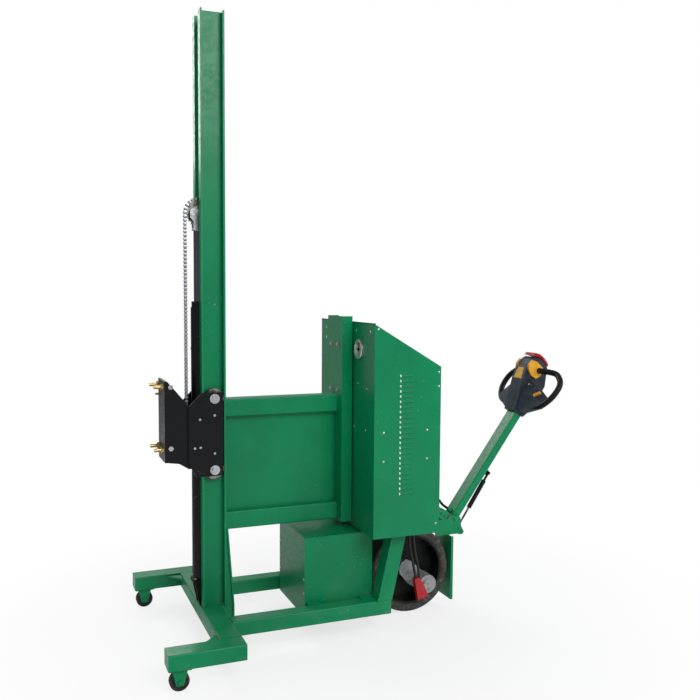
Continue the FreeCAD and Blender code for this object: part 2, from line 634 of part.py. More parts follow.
def build_rollers():
    pin_start = s.mast_half_width - 31
    length = number(plate_out - pin_start)
    pin = Part.makeCylinder(number(s.roller_pin), length, Vector(0, 0, -length))
    washer = Part.makeCylinder(number(s.washer_radius), 4.0)
    cap = hexagon_head(24.0, 7.0)
    cap.translate(Vector(0, 0, 4.0))
    bolt = pin.fuse([washer, cap])
    spots = [(roller_x, side * plate_out, z, "+y" if side > 0 else "-y")
             for side in (-1, 1) for z in (roller_low, roller_high)]
    spread("roller_axles", bolt, spots)
    for label, z in (("rollers_upper", roller_high), ("rollers_lower", roller_low)):
        pair = []
        for side in (-1, 1):
            outer = s.mast_half_width - 1
            low, high = side_span(side, outer - s.roller_width, outer)
            pair.append(turned("y", roller_x, low, z, [
                (s.roller_pin + s.slip, 0.0), (s.roller_radius - 2, 0.0), (s.roller_radius, 2.0),
                (s.roller_radius, s.roller_width - 2), (s.roller_radius - 2, s.roller_width),
                (s.roller_pin + s.slip, s.roller_width)]))
        node(group(*pair), label)


def build_carriage_bolts():
    small = screw(5.5, 4.0)
    spots = []
    for side in (-1, 1):
        way = "+y" if side > 0 else "-y"
        for x, z in ((50, -95), (50, -256), (-12, -110), (-34, -230), (-10, -228)):
            spots.append((x0 + x, side * plate_out, s.carriage_high + z, way))
    spread("carriage_screws", small, spots)
    # threaded studs that an attachment bolts to, each held by a nut on both faces of the face plate
    length = 74.0
    stud = Part.makeCylinder(number(s.tool_bolt_radius), length, Vector(0, 0, -34.0))
    front_nut = hexagon_head(24.0, 12.0)
    back_nut = hexagon_head(24.0, 12.0)
    back_nut.translate(Vector(0, 0, -number(s.face_thick) - 12.0))
    studs = [(x0 - s.face_x, y, z, "-x") for y in (-s.tool_bolt_y, s.tool_bolt_y)
             for z in (s.tool_bolt_low, s.tool_bolt_high)]
    spread("tool_studs", stud.fuse([front_nut, back_nut]), studs)
    arm_out = number(plate_in)
    through = Part.makeCylinder(6.0, 7.0)
    head = hexagon_head(19.0, 7.0)
    ends = [(x0 - s.face_x + 24, side * plate_in, z, "+y" if side > 0 else "-y")
            for side in (-1, 1) for z in (s.face_low + 60, s.face_high - 24)]
    spread("carriage_screws", head.fuse(through), ends)
    pin = Part.makeCylinder(5.0, 16.0)
    spread("tool_studs", pin, [(x0 - s.face_x, 62.0, s.face_high - 66, "-x")])


# ---------------------------------------------------------------- spine and rear upright
def build_spine():
    half = s.spine_tube / 2
    start = x0 + s.mast_depth
    length = s.upright_x - s.mast_depth
    upper_low = s.spine_high - s.spine_tube
    node(box_tube("x", start, length, -half, upper_low, half, s.spine_high, s.tube_wall, s.tube_corner),
         "spine")
    node(box_tube("x", start, length, -half, s.spine_low, half, s.spine_low + s.spine_tube, s.tube_wall,
                  s.tube_corner), "spine")
    panel_low = s.spine_low + s.spine_tube
    node(block(start, -s.spine_panel / 2, panel_low, length, s.spine_panel, upper_low - panel_low), "spine")
    front = x0 + s.upright_x
    rear = front + s.upright_depth
    thick = s.upright_thick
    half = s.upright_half_width
    outline = [(front, -half), (rear, -half), (rear, thick - half), (front + thick, thick - half),
               (front + thick, half - thick), (rear, half - thick), (rear, half), (front, half)]
    node(prism("z", s.upright_low, s.upright_high - s.upright_low, [outline]), "rear_upright")
    spread("frame_bolts", screw(7.5, 6.0, 10.0, 1.5), [(front, y, z, "-x") for y in (-42, 42) for z in (1062, 1266)])


# ---------------------------------------------------------------- cabinet
cabinet_front = x0 + s.cabinet_x
cabinet_rear = cabinet_front + s.cabinet_length
inside = s.cabinet_half_width - s.sheet_thick


def slope_height(back):
    """Height of the sloping top at a distance behind the cabinet's front."""
    return s.cabinet_high - back * ((s.cabinet_high - s.cabinet_rear_high) / s.cabinet_length)


def build_cabinet():
    thick = s.sheet_thick
    node(cut(block(cabinet_front, -s.cabinet_half_width, s.cabinet_low, thick, 2 * s.cabinet_half_width,
                   s.cabinet_high - s.cabinet_low)), "cabinet_front")
    for name, side in SIDES:
        low, high = side_span(side, inside, s.cabinet_half_width)
        outline = [(cabinet_front + thick, s.cabinet_low), (cabinet_rear, s.cabinet_low),
                   (cabinet_rear, s.cabinet_rear_high), (cabinet_front + thick, slope_height(thick))]
        node(prism("y", low, thick, [outline]), "cabinet_walls")
    lid = [(cabinet_front + thick, slope_height(thick)), (cabinet_rear, s.cabinet_rear_high),
           (cabinet_rear, s.cabinet_rear_high - thick), (cabinet_front + thick, slope_height(thick) - thick)]
    node(prism("y", -inside, 2 * inside, [lid]), "cabinet_lid")
    wall = block(cabinet_rear - thick, -inside, s.cabinet_low, thick, 2 * inside,
                 s.cabinet_rear_high - s.cabinet_low - thick)
    outlet = block(cabinet_rear - 2 * thick, -s.outlet_half_width, s.outlet_z - 15, 4 * thick,
                   2 * s.outlet_half_width, 30.0)
    node(cut(wall, outlet), "cabinet_walls")
    node(block(cabinet_front + thick, -inside, s.cabinet_low, s.cabinet_length - 2 * thick, 2 * inside,
               s.deck_thick), "drive_deck")
    node(block(cabinet_front - 1, -s.cabinet_half_width, s.cabinet_high, 6.0, 2 * s.cabinet_half_width, 3.0),
         "edge_trim")
    spots = []
    for side in (-1, 1):
        way = "+y" if side > 0 else "-y"
        for x, z in ((44, 906), (250, 908), (44, 782), (250, 782), (297, 492), (16, 1345), (304, 1157), (304, 1096)):
            spots.append((cabinet_front + x, side * s.cabinet_half_width, z, way))
    for y, z in ((-278, 1330), (-118, 1330), (-242, 1085), (-232, 905), (-100, 905), (-142, 1100), (256, 1330),
                 (256, 1282), (142, 1100)):
        spots.append((cabinet_front, y, z, "-x"))
    spread("cabinet_screws", button_head(5.5, 3.0), spots)
    build_vent()
    build_gauge()
    build_inside()


def build_vent():
    """Columns of pressed louvres on both cabinet sides."""
    count, first, last = 24, 637.0, 1145.0
    hoods = []
    for side in (-1, 1):
        skin = number(s.cabinet_half_width)
        for row in range(count):
            z = first + (last - first) * row / (count - 1)
            points = [Vector(0, side * skin, z - 5), Vector(0, side * (skin + 3.5), z - 3),
                      Vector(0, side * skin, z + 6)]
            face = Part.Face(Part.makePolygon(points + points[:1]))
            hood = face.extrude(Vector(62.0, 0, 0))
            hood.translate(Vector(number(cabinet_front) + 118.0, 0, 0))
            hoods.append(hood)
    shaped("vent_louvres", Part.makeCompound(hoods))


def build_gauge():
    face = cabinet_front
    radius = s.gauge_radius
    node(turned("x", face, s.gauge_y, s.gauge_z, [(radius - 7, 0.0), (radius, 0.0), (radius, -7.0),
         (radius - 3, -10.0), (radius - 7, -10.0)]), "gauge_body")
    node(rod("x", face - 4, s.gauge_y, s.gauge_z, radius - 7 - s.slip, 4.0), "gauge_body")
    hub = rod("x", face - 9, s.gauge_y, s.gauge_z, 6.0, 4.5)
    hand = block(face - 7, s.gauge_y - 1.5, s.gauge_z, 1.5, 3.0, 28.0)
    node(fuse(hub, hand), "gauge_needle")


def build_inside():
    """What the cabinet holds: tank, pump, valve block and drive controller."""
    floor = s.cabinet_low + s.deck_thick
    tank = block(cabinet_front + 30, 70.0, floor, 180.0, 220.0, 260.0)
    cap = rod("z", cabinet_front + 80, 130.0, floor + 260, 24.0, 16.0)
    node(fuse(tank, cap), "hydraulic_unit")
    node(block(cabinet_front + 40, -130.0, floor, 130.0, 110.0, 90.0), "hydraulic_unit")
    node(rod("z", cabinet_front + 105, -75.0, floor + 90, 55.0, 190.0), "hydraulic_unit")
    fins = [block(cabinet_front + 24, -270.0 + 12 * k, floor + 330, 24.0, 6.0, 180.0) for k in range(11)]
    node(fuse(block(cabinet_front + 3, -280.0, floor + 320, 22.0, 150.0, 200.0), *fins), "hydraulic_unit")


# ---------------------------------------------------------------- battery box
def build_battery():
    wall = s.sheet_thick
    x = x0 + s.box_x
    height = s.box_high - s.box_low - wall
    outer = block(x, -s.box_half_width, s.box_low, s.box_length, 2 * s.box_half_width, height)
    inner = block(x + wall, wall - s.box_half_width, s.box_low + wall, s.box_length - 2 * wall,
                  2 * (s.box_half_width - wall), height)
    node(cut(outer, inner), "battery_box")
    node(block(x - 2, -s.box_half_width - 2, s.box_high - wall, s.box_length + 4, 2 * s.box_half_width + 4, wall),
         "battery_lid")
    cells = []
    for y in (-88.0, 88.0):
        case = block(x + 18, y - 84, s.box_low + wall, s.box_length - 36, 168.0, 215.0)
        posts = [rod("z", x + 18 + px, y + 40, s.box_low + wall + 215, 9.0, 16.0) for px in (40.0, 220.0)]
        cells.append(fuse(case, *posts))
    node(group(*cells), "batteries")
    tabs = []
    for side in (-1, 1):
        low, high = side_span(side, s.box_half_width, s.box_half_width + 48)
        for tab_x in (8.0, 250.0):
            tabs.append(block(x + tab_x, low, base_top, 54.0, 48.0, 5.0))
    node(group(*tabs), "battery_box")
    spots = []
    for side, heights in ((-1, (198, 258)), (1, (200, 259, 330))):
        for z in heights:
            spots.append((x, side * (s.box_half_width - 10), z, "-x"))
    spread("cabinet_screws", button_head(5.5, 4.0), spots)


# ---------------------------------------------------------------- drive wheel and steering yoke
steer = x0 + s.steer_x
hub = s.axle_radius_drive


def pipe(points, radius):
    """A round bar along straight runs, with each turn rounded as widely as its two runs allow."""
    spots = [Vector(*[number(value) for value in point]) for point in points]
    edges = []
    here = spots[0]
    for index in range(1, len(spots) - 1):
        corner = spots[index]
        back, ahead = spots[index - 1] - corner, spots[index + 1] - corner
        reach = 0.45 * min(back.Length, ahead.Length)
        back.normalize()
        ahead.normalize()
        turn = math.pi - back.getAngle(ahead)
        bend = reach / math.tan(turn / 2)
        start, end = corner + back * reach, corner + ahead * reach
        middle_way = (back + ahead).normalize()
        centre = corner + middle_way * (bend / math.cos(turn / 2))
        middle = centre - middle_way * bend
        edges.append(Part.LineSegment(here, start).toShape())
        edges.append(Part.Arc(start, middle, end).toShape())
        bends.append(bend)
        here = end
    edges.append(Part.LineSegment(here, spots[-1]).toShape())
    path = Part.Wire(edges)
    first = (spots[1] - spots[0]).normalize()
    section = Part.Wire([Part.makeCircle(number(radius), spots[0], first)])
    bar = path.makePipeShell([section], True, False)
    runs.append((path.Length * math.pi * number(radius) ** 2, bar.Volume))
    return bar


bends = []
runs = []


def build_drive():
    half = s.wheel_width / 2
    wheel_z = s.wheel_radius
    inner = s.wheel_radius - s.tyre_thick
    bore = hub + s.slip
    node(turned("y", steer, 0.0, wheel_z, [
        (bore, 14.0), (58.0, 14.0), (58.0, 24.0), (inner - 10, 24.0), (inner - 10, 4 - half), (inner, 4 - half),
        (inner, half - 4), (inner - 10, half - 4), (inner - 10, 38.0), (58.0, 38.0), (58.0, 48.0), (bore, 48.0)]),
        "drive_rim")
    node(turned("y", steer, 0.0, wheel_z, [
        (inner, 4 - half), (inner + 7, -half), (s.wheel_radius - 10, -half), (s.wheel_radius - 2, 5 - half),
        (s.wheel_radius, 15 - half), (s.wheel_radius, half - 15), (s.wheel_radius - 2, half - 5),
        (s.wheel_radius - 10, half), (inner + 7, half), (inner, half - 4)]), "drive_tyre")
    build_motor(wheel_z)
    plate = block(steer - s.yoke_half_width, -s.yoke_half_width, s.yoke_z, s.yoke_half_width + s.yoke_reach,
                  2 * s.yoke_half_width, s.yoke_plate)
    arm = prism("y", s.yoke_half_width - 15, 15.0, [[
        (steer - 50, wheel_z - 50), (steer + 50, wheel_z - 50), (steer + 70, s.yoke_z), (steer - 70, s.yoke_z)]])
    boss = rod("y", steer, half + 3, wheel_z, 46.0, s.yoke_half_width - 15 - half - 3)
    top = s.yoke_z + s.yoke_plate
    lower = ring("z", steer, 0.0, top, 45.0, s.bearing_radius,
                 (s.cabinet_low - top) / 2 - s.bearing_gap / 2)
    node(fuse(plate, arm, boss, lower), "steer_yoke")
    upper_low = (s.cabinet_low + top) / 2 + s.bearing_gap / 2
    node(ring("z", steer, 0.0, upper_low, 45.0, s.bearing_radius, s.cabinet_low - upper_low), "drive_deck")
    build_skirt()


def build_motor(wheel_z):
    """The fixed stub axle with the brake motor carried beside it inside the rim."""
    half = s.wheel_width / 2
    stub = rod("y", steer, -16.0, wheel_z, hub, half + 3 + 16)
    carrier = prism("y", -16.0, 20.0, [[
        (steer - 35, wheel_z), (steer, wheel_z + 36), (steer + 36, wheel_z + 18), (steer + 108, wheel_z - 50),
        (steer + 102, wheel_z - 98), (steer + 60, wheel_z - 114), (steer + 10, wheel_z - 80),
        (steer - 30, wheel_z - 30)]])
    motor_x, motor_z = steer + s.motor_x, wheel_z + s.motor_z
    body = rod("y", motor_x, -90.0, motor_z, s.motor_radius, 75.0)
    nose = rod("y", motor_x, -96.0, motor_z, 24.0, 8.0)
    node(fuse(stub, carrier, body, nose), "drive_motor")
    plug = [(steer - 3, wheel_z - 29), (steer + 17, wheel_z - 130), (steer + 69, wheel_z - 111),
            (steer + 24, wheel_z - 22)]
    node(prism("y", -120.0, 24.0, [plug]), "motor_cables")
    for x, lean in ((-18.0, 0.0), (4.0, 10.0)):
        top = (steer + x, -86.0 + lean / 5, s.yoke_z)
        shaped("motor_cables", pipe([
            top, (steer + x, -87.0, 350.0), (steer + x + 6, -91.0, 292.0), (steer + x + 18, -99.0, 236.0),
            (steer + x + 24 - lean / 4, -108.0, 176.0)], s.cable_radius))


def build_skirt():
    sx = steer + s.skirt_x
    width, flange, thick = s.skirt_half_width, s.skirt_flange, s.skirt_thick
    outline = [(sx, -width), (sx + flange, -width), (sx + flange, thick - width), (sx + thick, thick - width),
               (sx + thick, width - thick), (sx + flange, width - thick), (sx + flange, width), (sx, width)]
    node(prism("z", s.skirt_low, bracket_low - s.skirt_low, [outline]), "skirt")


# ---------------------------------------------------------------- tiller bracket and gas spring
pivot_x = steer + s.pivot_x
bracket_low = s.pivot_z - 73
bracket_top = s.pivot_z + 3
foot_x = pivot_x + s.spring_foot_x
foot_z = s.pivot_z + s.spring_foot_z


def build_bracket():
    start = steer + s.yoke_reach
    gap, thick = s.bracket_gap, s.bracket_thick
    plates = []
    for side in (-1, 1):
        low, high = side_span(side, gap, gap + thick)
        outline = [(start, bracket_top), (start, bracket_low + 30), (start + 34, bracket_low),
                   (foot_x - 22, bracket_low), (foot_x - 10, foot_z - 13), (foot_x + 8, foot_z - 12),
                   (foot_x + 13, foot_z), (foot_x - 2, foot_z + 28), (pivot_x + 28, bracket_top),
                   (pivot_x + 16, s.pivot_z + 17), (pivot_x - 16, s.pivot_z + 17), (pivot_x - 34, bracket_top)]
        plates.append(prism("y", low, thick, [outline],
                            circles=[(pivot_x, s.pivot_z, s.pivot_radius + s.slip), (foot_x, foot_z, 5 + s.slip)]))
    node(group(*plates), "tiller_bracket")
    reach = gap + thick
    node(rod("y", pivot_x, -reach - 2, s.pivot_z, s.pivot_radius, 2 * reach + 4), "tiller_bracket")
    node(rod("y", foot_x, -reach - 2, foot_z, 5.0, 2 * reach + 4), "tiller_bracket")
    knuckle_x = steer + s.knuckle_x
    knuckle_z = bracket_top + s.knuckle_radius
    node(rod("y", knuckle_x, -reach, knuckle_z, s.knuckle_radius, 2 * reach), "tiller_bracket")
    heads = [(knuckle_x + x, side * reach, knuckle_z + z, "+y" if side > 0 else "-y")
             for side in (-1, 1) for x, z in ((-10, 6), (9, -8))]
    spread("tiller_bracket", screw(5.5, 5.0), heads)
    heads = [(pivot_x, side * (reach + 2), s.pivot_z, "+y" if side > 0 else "-y") for side in (-1, 1)]
    spread("tiller_bracket", button_head(11.0, 3.5), heads)


def build_gas_spring():
    """Rod eye on the bracket, cylinder eye beside the arm's lug."""
    run_x, run_z = s.spring_head_x - s.spring_foot_x, s.spring_head_z - s.spring_foot_z
    length = math.hypot(number(run_x), number(run_z))
    lean = FreeCAD.Rotation(Vector(0, 1, 0), math.degrees(math.atan2(number(run_x), number(run_z))))
    rod_radius, tube = s.spring_rod, s.spring_tube
    eye = ring("y", foot_x, -7.0, foot_z, 5 + s.slip, 9.0, 14.0)
    head_end = s.spring_start + 78
    piston_rod = turned("z", foot_x, 0.0, foot_z, [
        (0.0, 8.0), (rod_radius, 8.0), (rod_radius, head_end), (tube - 3 - s.slip, head_end),
        (tube - 3 - s.slip, head_end + 8), (0.0, head_end + 8)], rotation=lean)
    node(fuse(eye, piston_rod), "gas_spring_rod")
    barrel = turned("z", foot_x, 0.0, foot_z, [
        (rod_radius + s.slip, s.spring_start), (tube, s.spring_start), (tube, s.spring_end),
        (rod_radius + 1, s.spring_end + 4), (rod_radius + 1, length - 6.5), (0.0, length - 6.5),
        (0.0, s.spring_end - 4), (tube - 3, s.spring_end - 4), (tube - 3, s.spring_start + 6),
        (rod_radius + s.slip, s.spring_start + 6)], rotation=lean)
    head_eye = ring("y", foot_x + run_x, -7.0, foot_z + run_z, 4.6, 8.0, 14.0)
    node(fuse(barrel, head_eye), "gas_spring_tube")


# ---------------------------------------------------------------- tiller arm and control head
SLOPE = FreeCAD.Rotation(Vector(0, 1, 0), -SIZES["arm_angle"])


def on_arm(*items):
    """Carries pieces from the arm's own frame (pivot at zero, +X along the arm) to where the arm leans."""
    whole = group(*items)
    place(whole, pivot_x, 0.0, s.pivot_z, SLOPE)
    return whole


def solid(shape):
    item = doc.addObject("Part::Feature", "solid")
    item.Shape = shape
    return item


def build_arm():
    half_w, half_d = s.arm_width / 2, s.arm_depth / 2
    tube = box_tube("x", -24.0, s.arm_length + 24, -half_w, -half_d, half_w, half_d, s.arm_wall, 5.0)
    pin = rod("y", 0.0, -half_w - 5, 0.0, s.pivot_radius + s.slip, s.arm_width + 10)
    turn = math.radians(SIZES["arm_angle"])
    head_x, head_z = number(s.spring_head_x), number(s.spring_head_z)
    along = head_x * math.cos(turn) + head_z * math.sin(turn)
    across = head_z * math.cos(turn) - head_x * math.sin(turn)
    lug = prism("y", 14.0, 6.0, [[(along - 20, -half_d), (along - 12, across - 10), (along + 12, across - 10),
                                  (along + 20, -half_d)]])
    stud = rod("y", along, 7.3, across, 4.5, 6.7)
    node(on_arm(cut(tube, pin), fuse(lug, stud)), "tiller_arm")


def build_cable():
    """The control cable leaves the cabinet on the steering axis and ends at the gland on the arm."""
    turn = math.radians(SIZES["arm_angle"])
    gland_x, gland_z = 24.0, number(s.arm_depth) / 2
    cone = Part.makeCone(13.0, 8.0, 22.0, Vector(gland_x, 0, gland_z))
    node(on_arm(solid(cone)), "tiller_arm")
    tip = Vector(gland_x, 0, gland_z + 22.3)
    end_x = number(pivot_x) + tip.x * math.cos(turn) - tip.z * math.sin(turn)
    end_z = number(s.pivot_z) + tip.x * math.sin(turn) + tip.z * math.cos(turn)
    way = Vector(-math.sin(turn), 0, math.cos(turn))
    end = Vector(end_x, 0, end_z)
    start = Vector(number(steer), 0, number(s.outlet_z))
    shaped("control_cable", pipe([
        (start.x, 0, start.z), (start.x + 60, 0, start.z + 2), (start.x + 122, 0, start.z - 4),
        (start.x + 178, 4, start.z + 4), tuple(end + way * 34), tuple(end)], s.cable_radius))


def build_head():
    end = s.arm_length
    half = s.head_half_width
    points = [(0, -24), (0, 34), (46, 50), (90, 68), (150, 90), (206, 103), (264, 99), (280, 88), (288, 60),
              (285, 30), (274, 2), (190, -42), (56, -44), (14, -30)]
    outline = [(end + a, float(b)) for a, b in points]
    core = prism("y", -half, 2 * half, [outline])
    sides = []
    loops = []
    for side in (-1, 1):
        sides.append(solid(shoulder_shape(side)))
        loops.append(solid(loop_shape(side)))
    guide = rod("x", end + 246, 0.0, 50.0, 8 + s.slip, 60.0)
    pocket = solid(key_shape(24.0, 36.6, 12.6, -12.0))
    inset = s.arm_wall + 0.1
    spigot = block(end - 30, inset - s.arm_width / 2, inset - s.arm_depth / 2, 31.0, s.arm_width - 2 * inset,
                   s.arm_depth - 2 * inset)
    body = cut(fuse(core, spigot, *sides), *loops, guide, pocket)
    node(on_arm(body), "control_head")
    node(on_arm(*loops), "handle_loops")
    build_controls(end, half)


def shoulder_shape(side):
    """A tapered wing of the housing between the core's side and the low outer edge."""
    root = number(s.arm_length)
    reach = number(s.shoulder_reach)
    inner_y = side * (number(s.head_half_width) - 1.0)
    outer_y = side * reach
    inner = [(8, -14), (60, -22), (170, -36), (174, 60), (90, 62), (8, 34)]
    outer = [(58, -8), (84, -12), (116, -10), (120, 8), (94, 18), (60, 16)]
    rings = []
    for y, points in ((inner_y, inner), (outer_y, outer)):
        spots = [Vector(root + a, y, b) for a, b in points]
        rings.append(Part.makePolygon(spots + spots[:1]))
    return Part.makeLoft(rings, True, True)


def loop_shape(side):
    """One closed handle loop, from the shoulder out and back to the throttle's axis."""
    root = number(s.arm_length)
    reach = number(s.loop_reach)
    axis_x, axis_z = number(s.throttle_x), number(s.throttle_z)
    points = [(34, 50, 4), (62, reach - 50, 4), (122, reach - 2, 6), (200, reach, 5), (axis_x + 14, reach - 66, 12),
              (axis_x + 3, 112, axis_z - 4), (axis_x, 78, axis_z), (axis_x, number(s.head_half_width) - 6, axis_z)]
    return pipe([(root + a, side * b, c) for a, b, c in points], s.loop_radius)


def key_shape(height, length, width, bottom):
    """A rocker key that stands square to the near shoulder's slope."""
    box = Part.makeBox(length, width, height, Vector(-length / 2, -width / 2, bottom))
    slope = FreeCAD.Rotation(Vector(1, 0, 0), 15.5)
    turn = FreeCAD.Rotation(Vector(0, 0, 1), -45.0)
    box.Placement = FreeCAD.Placement(Vector(number(s.arm_length) + 110.0, -140.0, 35.0), slope * turn)
    return box


def build_controls(end, half):
    axis_x, axis_z = s.throttle_x, s.throttle_z
    wings = []
    wing_points = [(30, 34), (22, 62), (-6, 66), (-28, 54), (-44, 24), (-42, -8), (-20, -22), (14, -22), (24, -8)]
    for side in (-1, 1):
        low, high = side_span(side, half + 0.3, half + 0.3 + s.throttle_thick)
        outline = [(end + axis_x + a, axis_z + b) for a, b in wing_points]
        wings.append(prism("y", low, s.throttle_thick, [outline],
                           circles=[(end + axis_x, axis_z, s.loop_radius + 0.3)]))
    node(on_arm(*wings), "throttle_wings")
    travel = s.button_travel
    outer = [(280, 101), (298, 99), (307, 75), (306, 48), (298, 16), (289, 2), (281, 3)]
    inner = [(292, 30), (295, 60), (287, 89)]
    cap = prism("y", -s.button_half_width, 2 * s.button_half_width,
                [[(end + a, float(b)) for a, b in outer + inner]])
    stem = rod("x", end + 254, 0.0, 50.0, 8.0, 44.0)
    node(on_arm(fuse(cap, stem)), "belly_button")
    node(on_arm(solid(key_shape(13.5, 36.0, 12.0, -9.0))), "lift_keys")


# ---------------------------------------------------------------- build, check and write
def gather():
    """Turn each named set into one document object that carries the sub-part's name."""
    finished = []
    for label, items in members.items():
        whole = items[0] if len(items) == 1 else group(*items)
        whole.Label = label
        finished.append(whole)
    return finished


def check(item):
    states = [state for state in item.State if state in ("Invalid", "Error")]
    if states:
        raise RuntimeError("%s did not build: %s" % (item.Label, ", ".join(states)))


def main():
    build_base()
    build_casters()
    build_mast()
    build_cylinder()
    build_crosshead()
    build_carriage()
    build_spine()
    build_cabinet()
    build_battery()
    build_drive()
    build_bracket()
    build_gas_spring()
    build_arm()
    build_cable()
    build_head()
    finished = gather()
    doc.recompute()
    for item in doc.Objects:
        check(item)
    os.makedirs("parts", exist_ok=True)
    whole = FreeCAD.BoundBox()
    for item in finished:
        shape = item.Shape
        if shape.isNull() or not shape.isValid() or not shape.Solids:
            raise RuntimeError("%s has no sound shape" % item.Label)
        whole.add(shape.BoundBox)
    for item in finished:
        item.Shape.exportStep("parts/%s.step" % item.Label)
        print("%-22s %3d solids %12.0f mm3" % (item.Label, len(item.Shape.Solids), item.Shape.Volume))
    print("%d sub-parts" % len(finished))
    print("bend radii (mm): " + ", ".join("%.0f" % bend for bend in bends))
    for expected, actual in runs:
        print("bar volume %.0f, section times length %.0f" % (actual, expected))
    print("box X %.1f..%.1f  Y %.1f..%.1f  Z %.1f..%.1f" % (
        whole.XMin, whole.XMax, whole.YMin, whole.YMax, whole.ZMin, whole.ZMax))


main()
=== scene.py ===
import json
import math

import bmesh
import bpy
import numpy as np
from mathutils import Matrix, Vector


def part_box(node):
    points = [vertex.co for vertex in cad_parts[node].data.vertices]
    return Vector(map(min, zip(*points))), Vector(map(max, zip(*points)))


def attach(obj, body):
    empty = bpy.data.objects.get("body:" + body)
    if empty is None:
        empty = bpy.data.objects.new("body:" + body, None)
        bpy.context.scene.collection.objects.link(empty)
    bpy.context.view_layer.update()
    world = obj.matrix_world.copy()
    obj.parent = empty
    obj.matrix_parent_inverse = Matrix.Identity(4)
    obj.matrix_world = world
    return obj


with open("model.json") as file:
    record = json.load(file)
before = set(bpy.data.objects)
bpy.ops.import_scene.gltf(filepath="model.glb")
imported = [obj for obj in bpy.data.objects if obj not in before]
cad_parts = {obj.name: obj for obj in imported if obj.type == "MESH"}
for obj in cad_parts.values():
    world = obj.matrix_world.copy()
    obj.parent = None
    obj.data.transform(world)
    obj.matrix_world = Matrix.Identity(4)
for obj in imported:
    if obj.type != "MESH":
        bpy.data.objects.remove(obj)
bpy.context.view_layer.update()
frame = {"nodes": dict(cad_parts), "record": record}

bl_info = {
    "name": "Walkie Stacker Looks",
    "version": (1, 0, 0),
    "blender": (4, 5, 0),
    "location": "3D View > Sidebar > Stacker",
    "description": "Finishes, welds and small fittings of a pedestrian stacker",
    "category": "Object",
}

RECORD = frame["record"]
JOINTS = {j["name"]: j for j in RECORD["behaviour"]["joints"]}

ARM_LEAN = math.radians(54.5)       # the tiller arm's slope above the floor at rest
CHAIN_PITCH = 0.015875
PLUG_HEIGHT = 0.107                 # the red connector, up from the lowest point of the cables
RAY_START = 0.30                    # how far out from the arm a ray is dropped
LAMP_PLACE = 0.745                  # the small lamps, along the arm from its pivot
LENS_MM, SENSOR_MM = 43.2, 36.0
EYE_PLACE = (-1.486, -3.535, 1.510)
EYE_TURN, EYE_DIP, EYE_ROLL = 21.88, 4.12, 0.38     # degrees


# ---------------------------------------------------------------- surfaces

def frames_along(path):
    """Tangent, side and up at each point of a path: the tangent is the path's own difference,
    and the side is the tangent crossed with the axis that the whole path leans on least."""
    tangent = np.gradient(path, axis=0)
    tangent /= np.linalg.norm(tangent, axis=1, keepdims=True)
    helper = np.zeros(3)
    helper[np.argmin(np.abs(tangent).max(axis=0))] = 1.0
    side = np.cross(tangent, helper)
    side /= np.linalg.norm(side, axis=1, keepdims=True)
    return tangent, side, np.cross(side, tangent)


def swept(path, radii, around):
    """A tube: each point is the path plus radius times (cosine of v along side + sine of v
    along up), with both ends drawn in to their middle."""
    _, side, up = frames_along(path)
    v = np.linspace(0.0, 2 * np.pi, around, endpoint=False)
    ring = np.cos(v)[None, :, None] * side[:, None, :] + np.sin(v)[None, :, None] * up[:, None, :]
    grid = path[:, None, :] + np.asarray(radii)[:, None, None] * ring
    first = np.repeat(path[:1, None, :], around, axis=1)
    last = np.repeat(path[-1:, None, :], around, axis=1)
    return np.concatenate([first, grid, last], axis=0)


def turned(centre, axis, profile, around=28):
    """A turned solid: profile pairs (radius, height) carried round an axis, so each point is
    centre + height along the axis + radius times (cosine, sine) across it."""
    axis = np.asarray(axis, float) / np.linalg.norm(axis)
    helper = np.array([1.0, 0.0, 0.0]) if abs(axis[0]) < 0.8 else np.array([0.0, 1.0, 0.0])
    a = np.cross(axis, helper)
    a /= np.linalg.norm(a)
    b = np.cross(axis, a)
    profile = np.asarray(profile, float)
    v = np.linspace(0.0, 2 * np.pi, around, endpoint=False)
    ring = np.cos(v)[:, None] * a + np.sin(v)[:, None] * b
    return (np.asarray(centre)[None, None, :] + profile[:, 1, None, None] * axis
            + profile[:, 0, None, None] * ring[None, :, :])


def faces_of(rows, columns, offset):
    """Quads between neighbouring rows of a grid whose columns close on themselves."""
    i, j = np.meshgrid(np.arange(rows - 1), np.arange(columns), indexing="ij")
    k = (j + 1) % columns
    quads = np.stack([i * columns + j, i * columns + k, (i + 1) * columns + k, (i + 1) * columns + j], axis=-1)
    return quads.reshape(-1, 4) + offset


def to_object(name, grids, smooth=True):
    """Puts a list of closed-column grids into one mesh, merges the points drawn together at
    poles, and turns every face outwards."""
    points, faces, offset = [], [], 0
    for grid in grids:
        rows, columns = grid.shape[:2]
        points.append(grid.reshape(-1, 3))
        faces.append(faces_of(rows, columns, offset))
        offset += rows * columns
    mesh = bpy.data.meshes.new(name)
    mesh.from_pydata(np.concatenate(points), [], np.concatenate(faces))
    obj = bpy.data.objects.new(name, mesh)
    bpy.context.collection.objects.link(obj)
    work = bmesh.new()
    work.from_mesh(mesh)
    bmesh.ops.remove_doubles(work, verts=work.verts, dist=1e-6)
    bmesh.ops.dissolve_degenerate(work, edges=work.edges, dist=1e-7)
    bmesh.ops.recalc_face_normals(work, faces=work.faces)
    work.to_mesh(mesh)
    work.free()
    mesh.polygons.foreach_set("use_smooth", np.full(len(mesh.polygons), smooth))
    mesh.update()
    return obj


# ---------------------------------------------------------------- shader maths

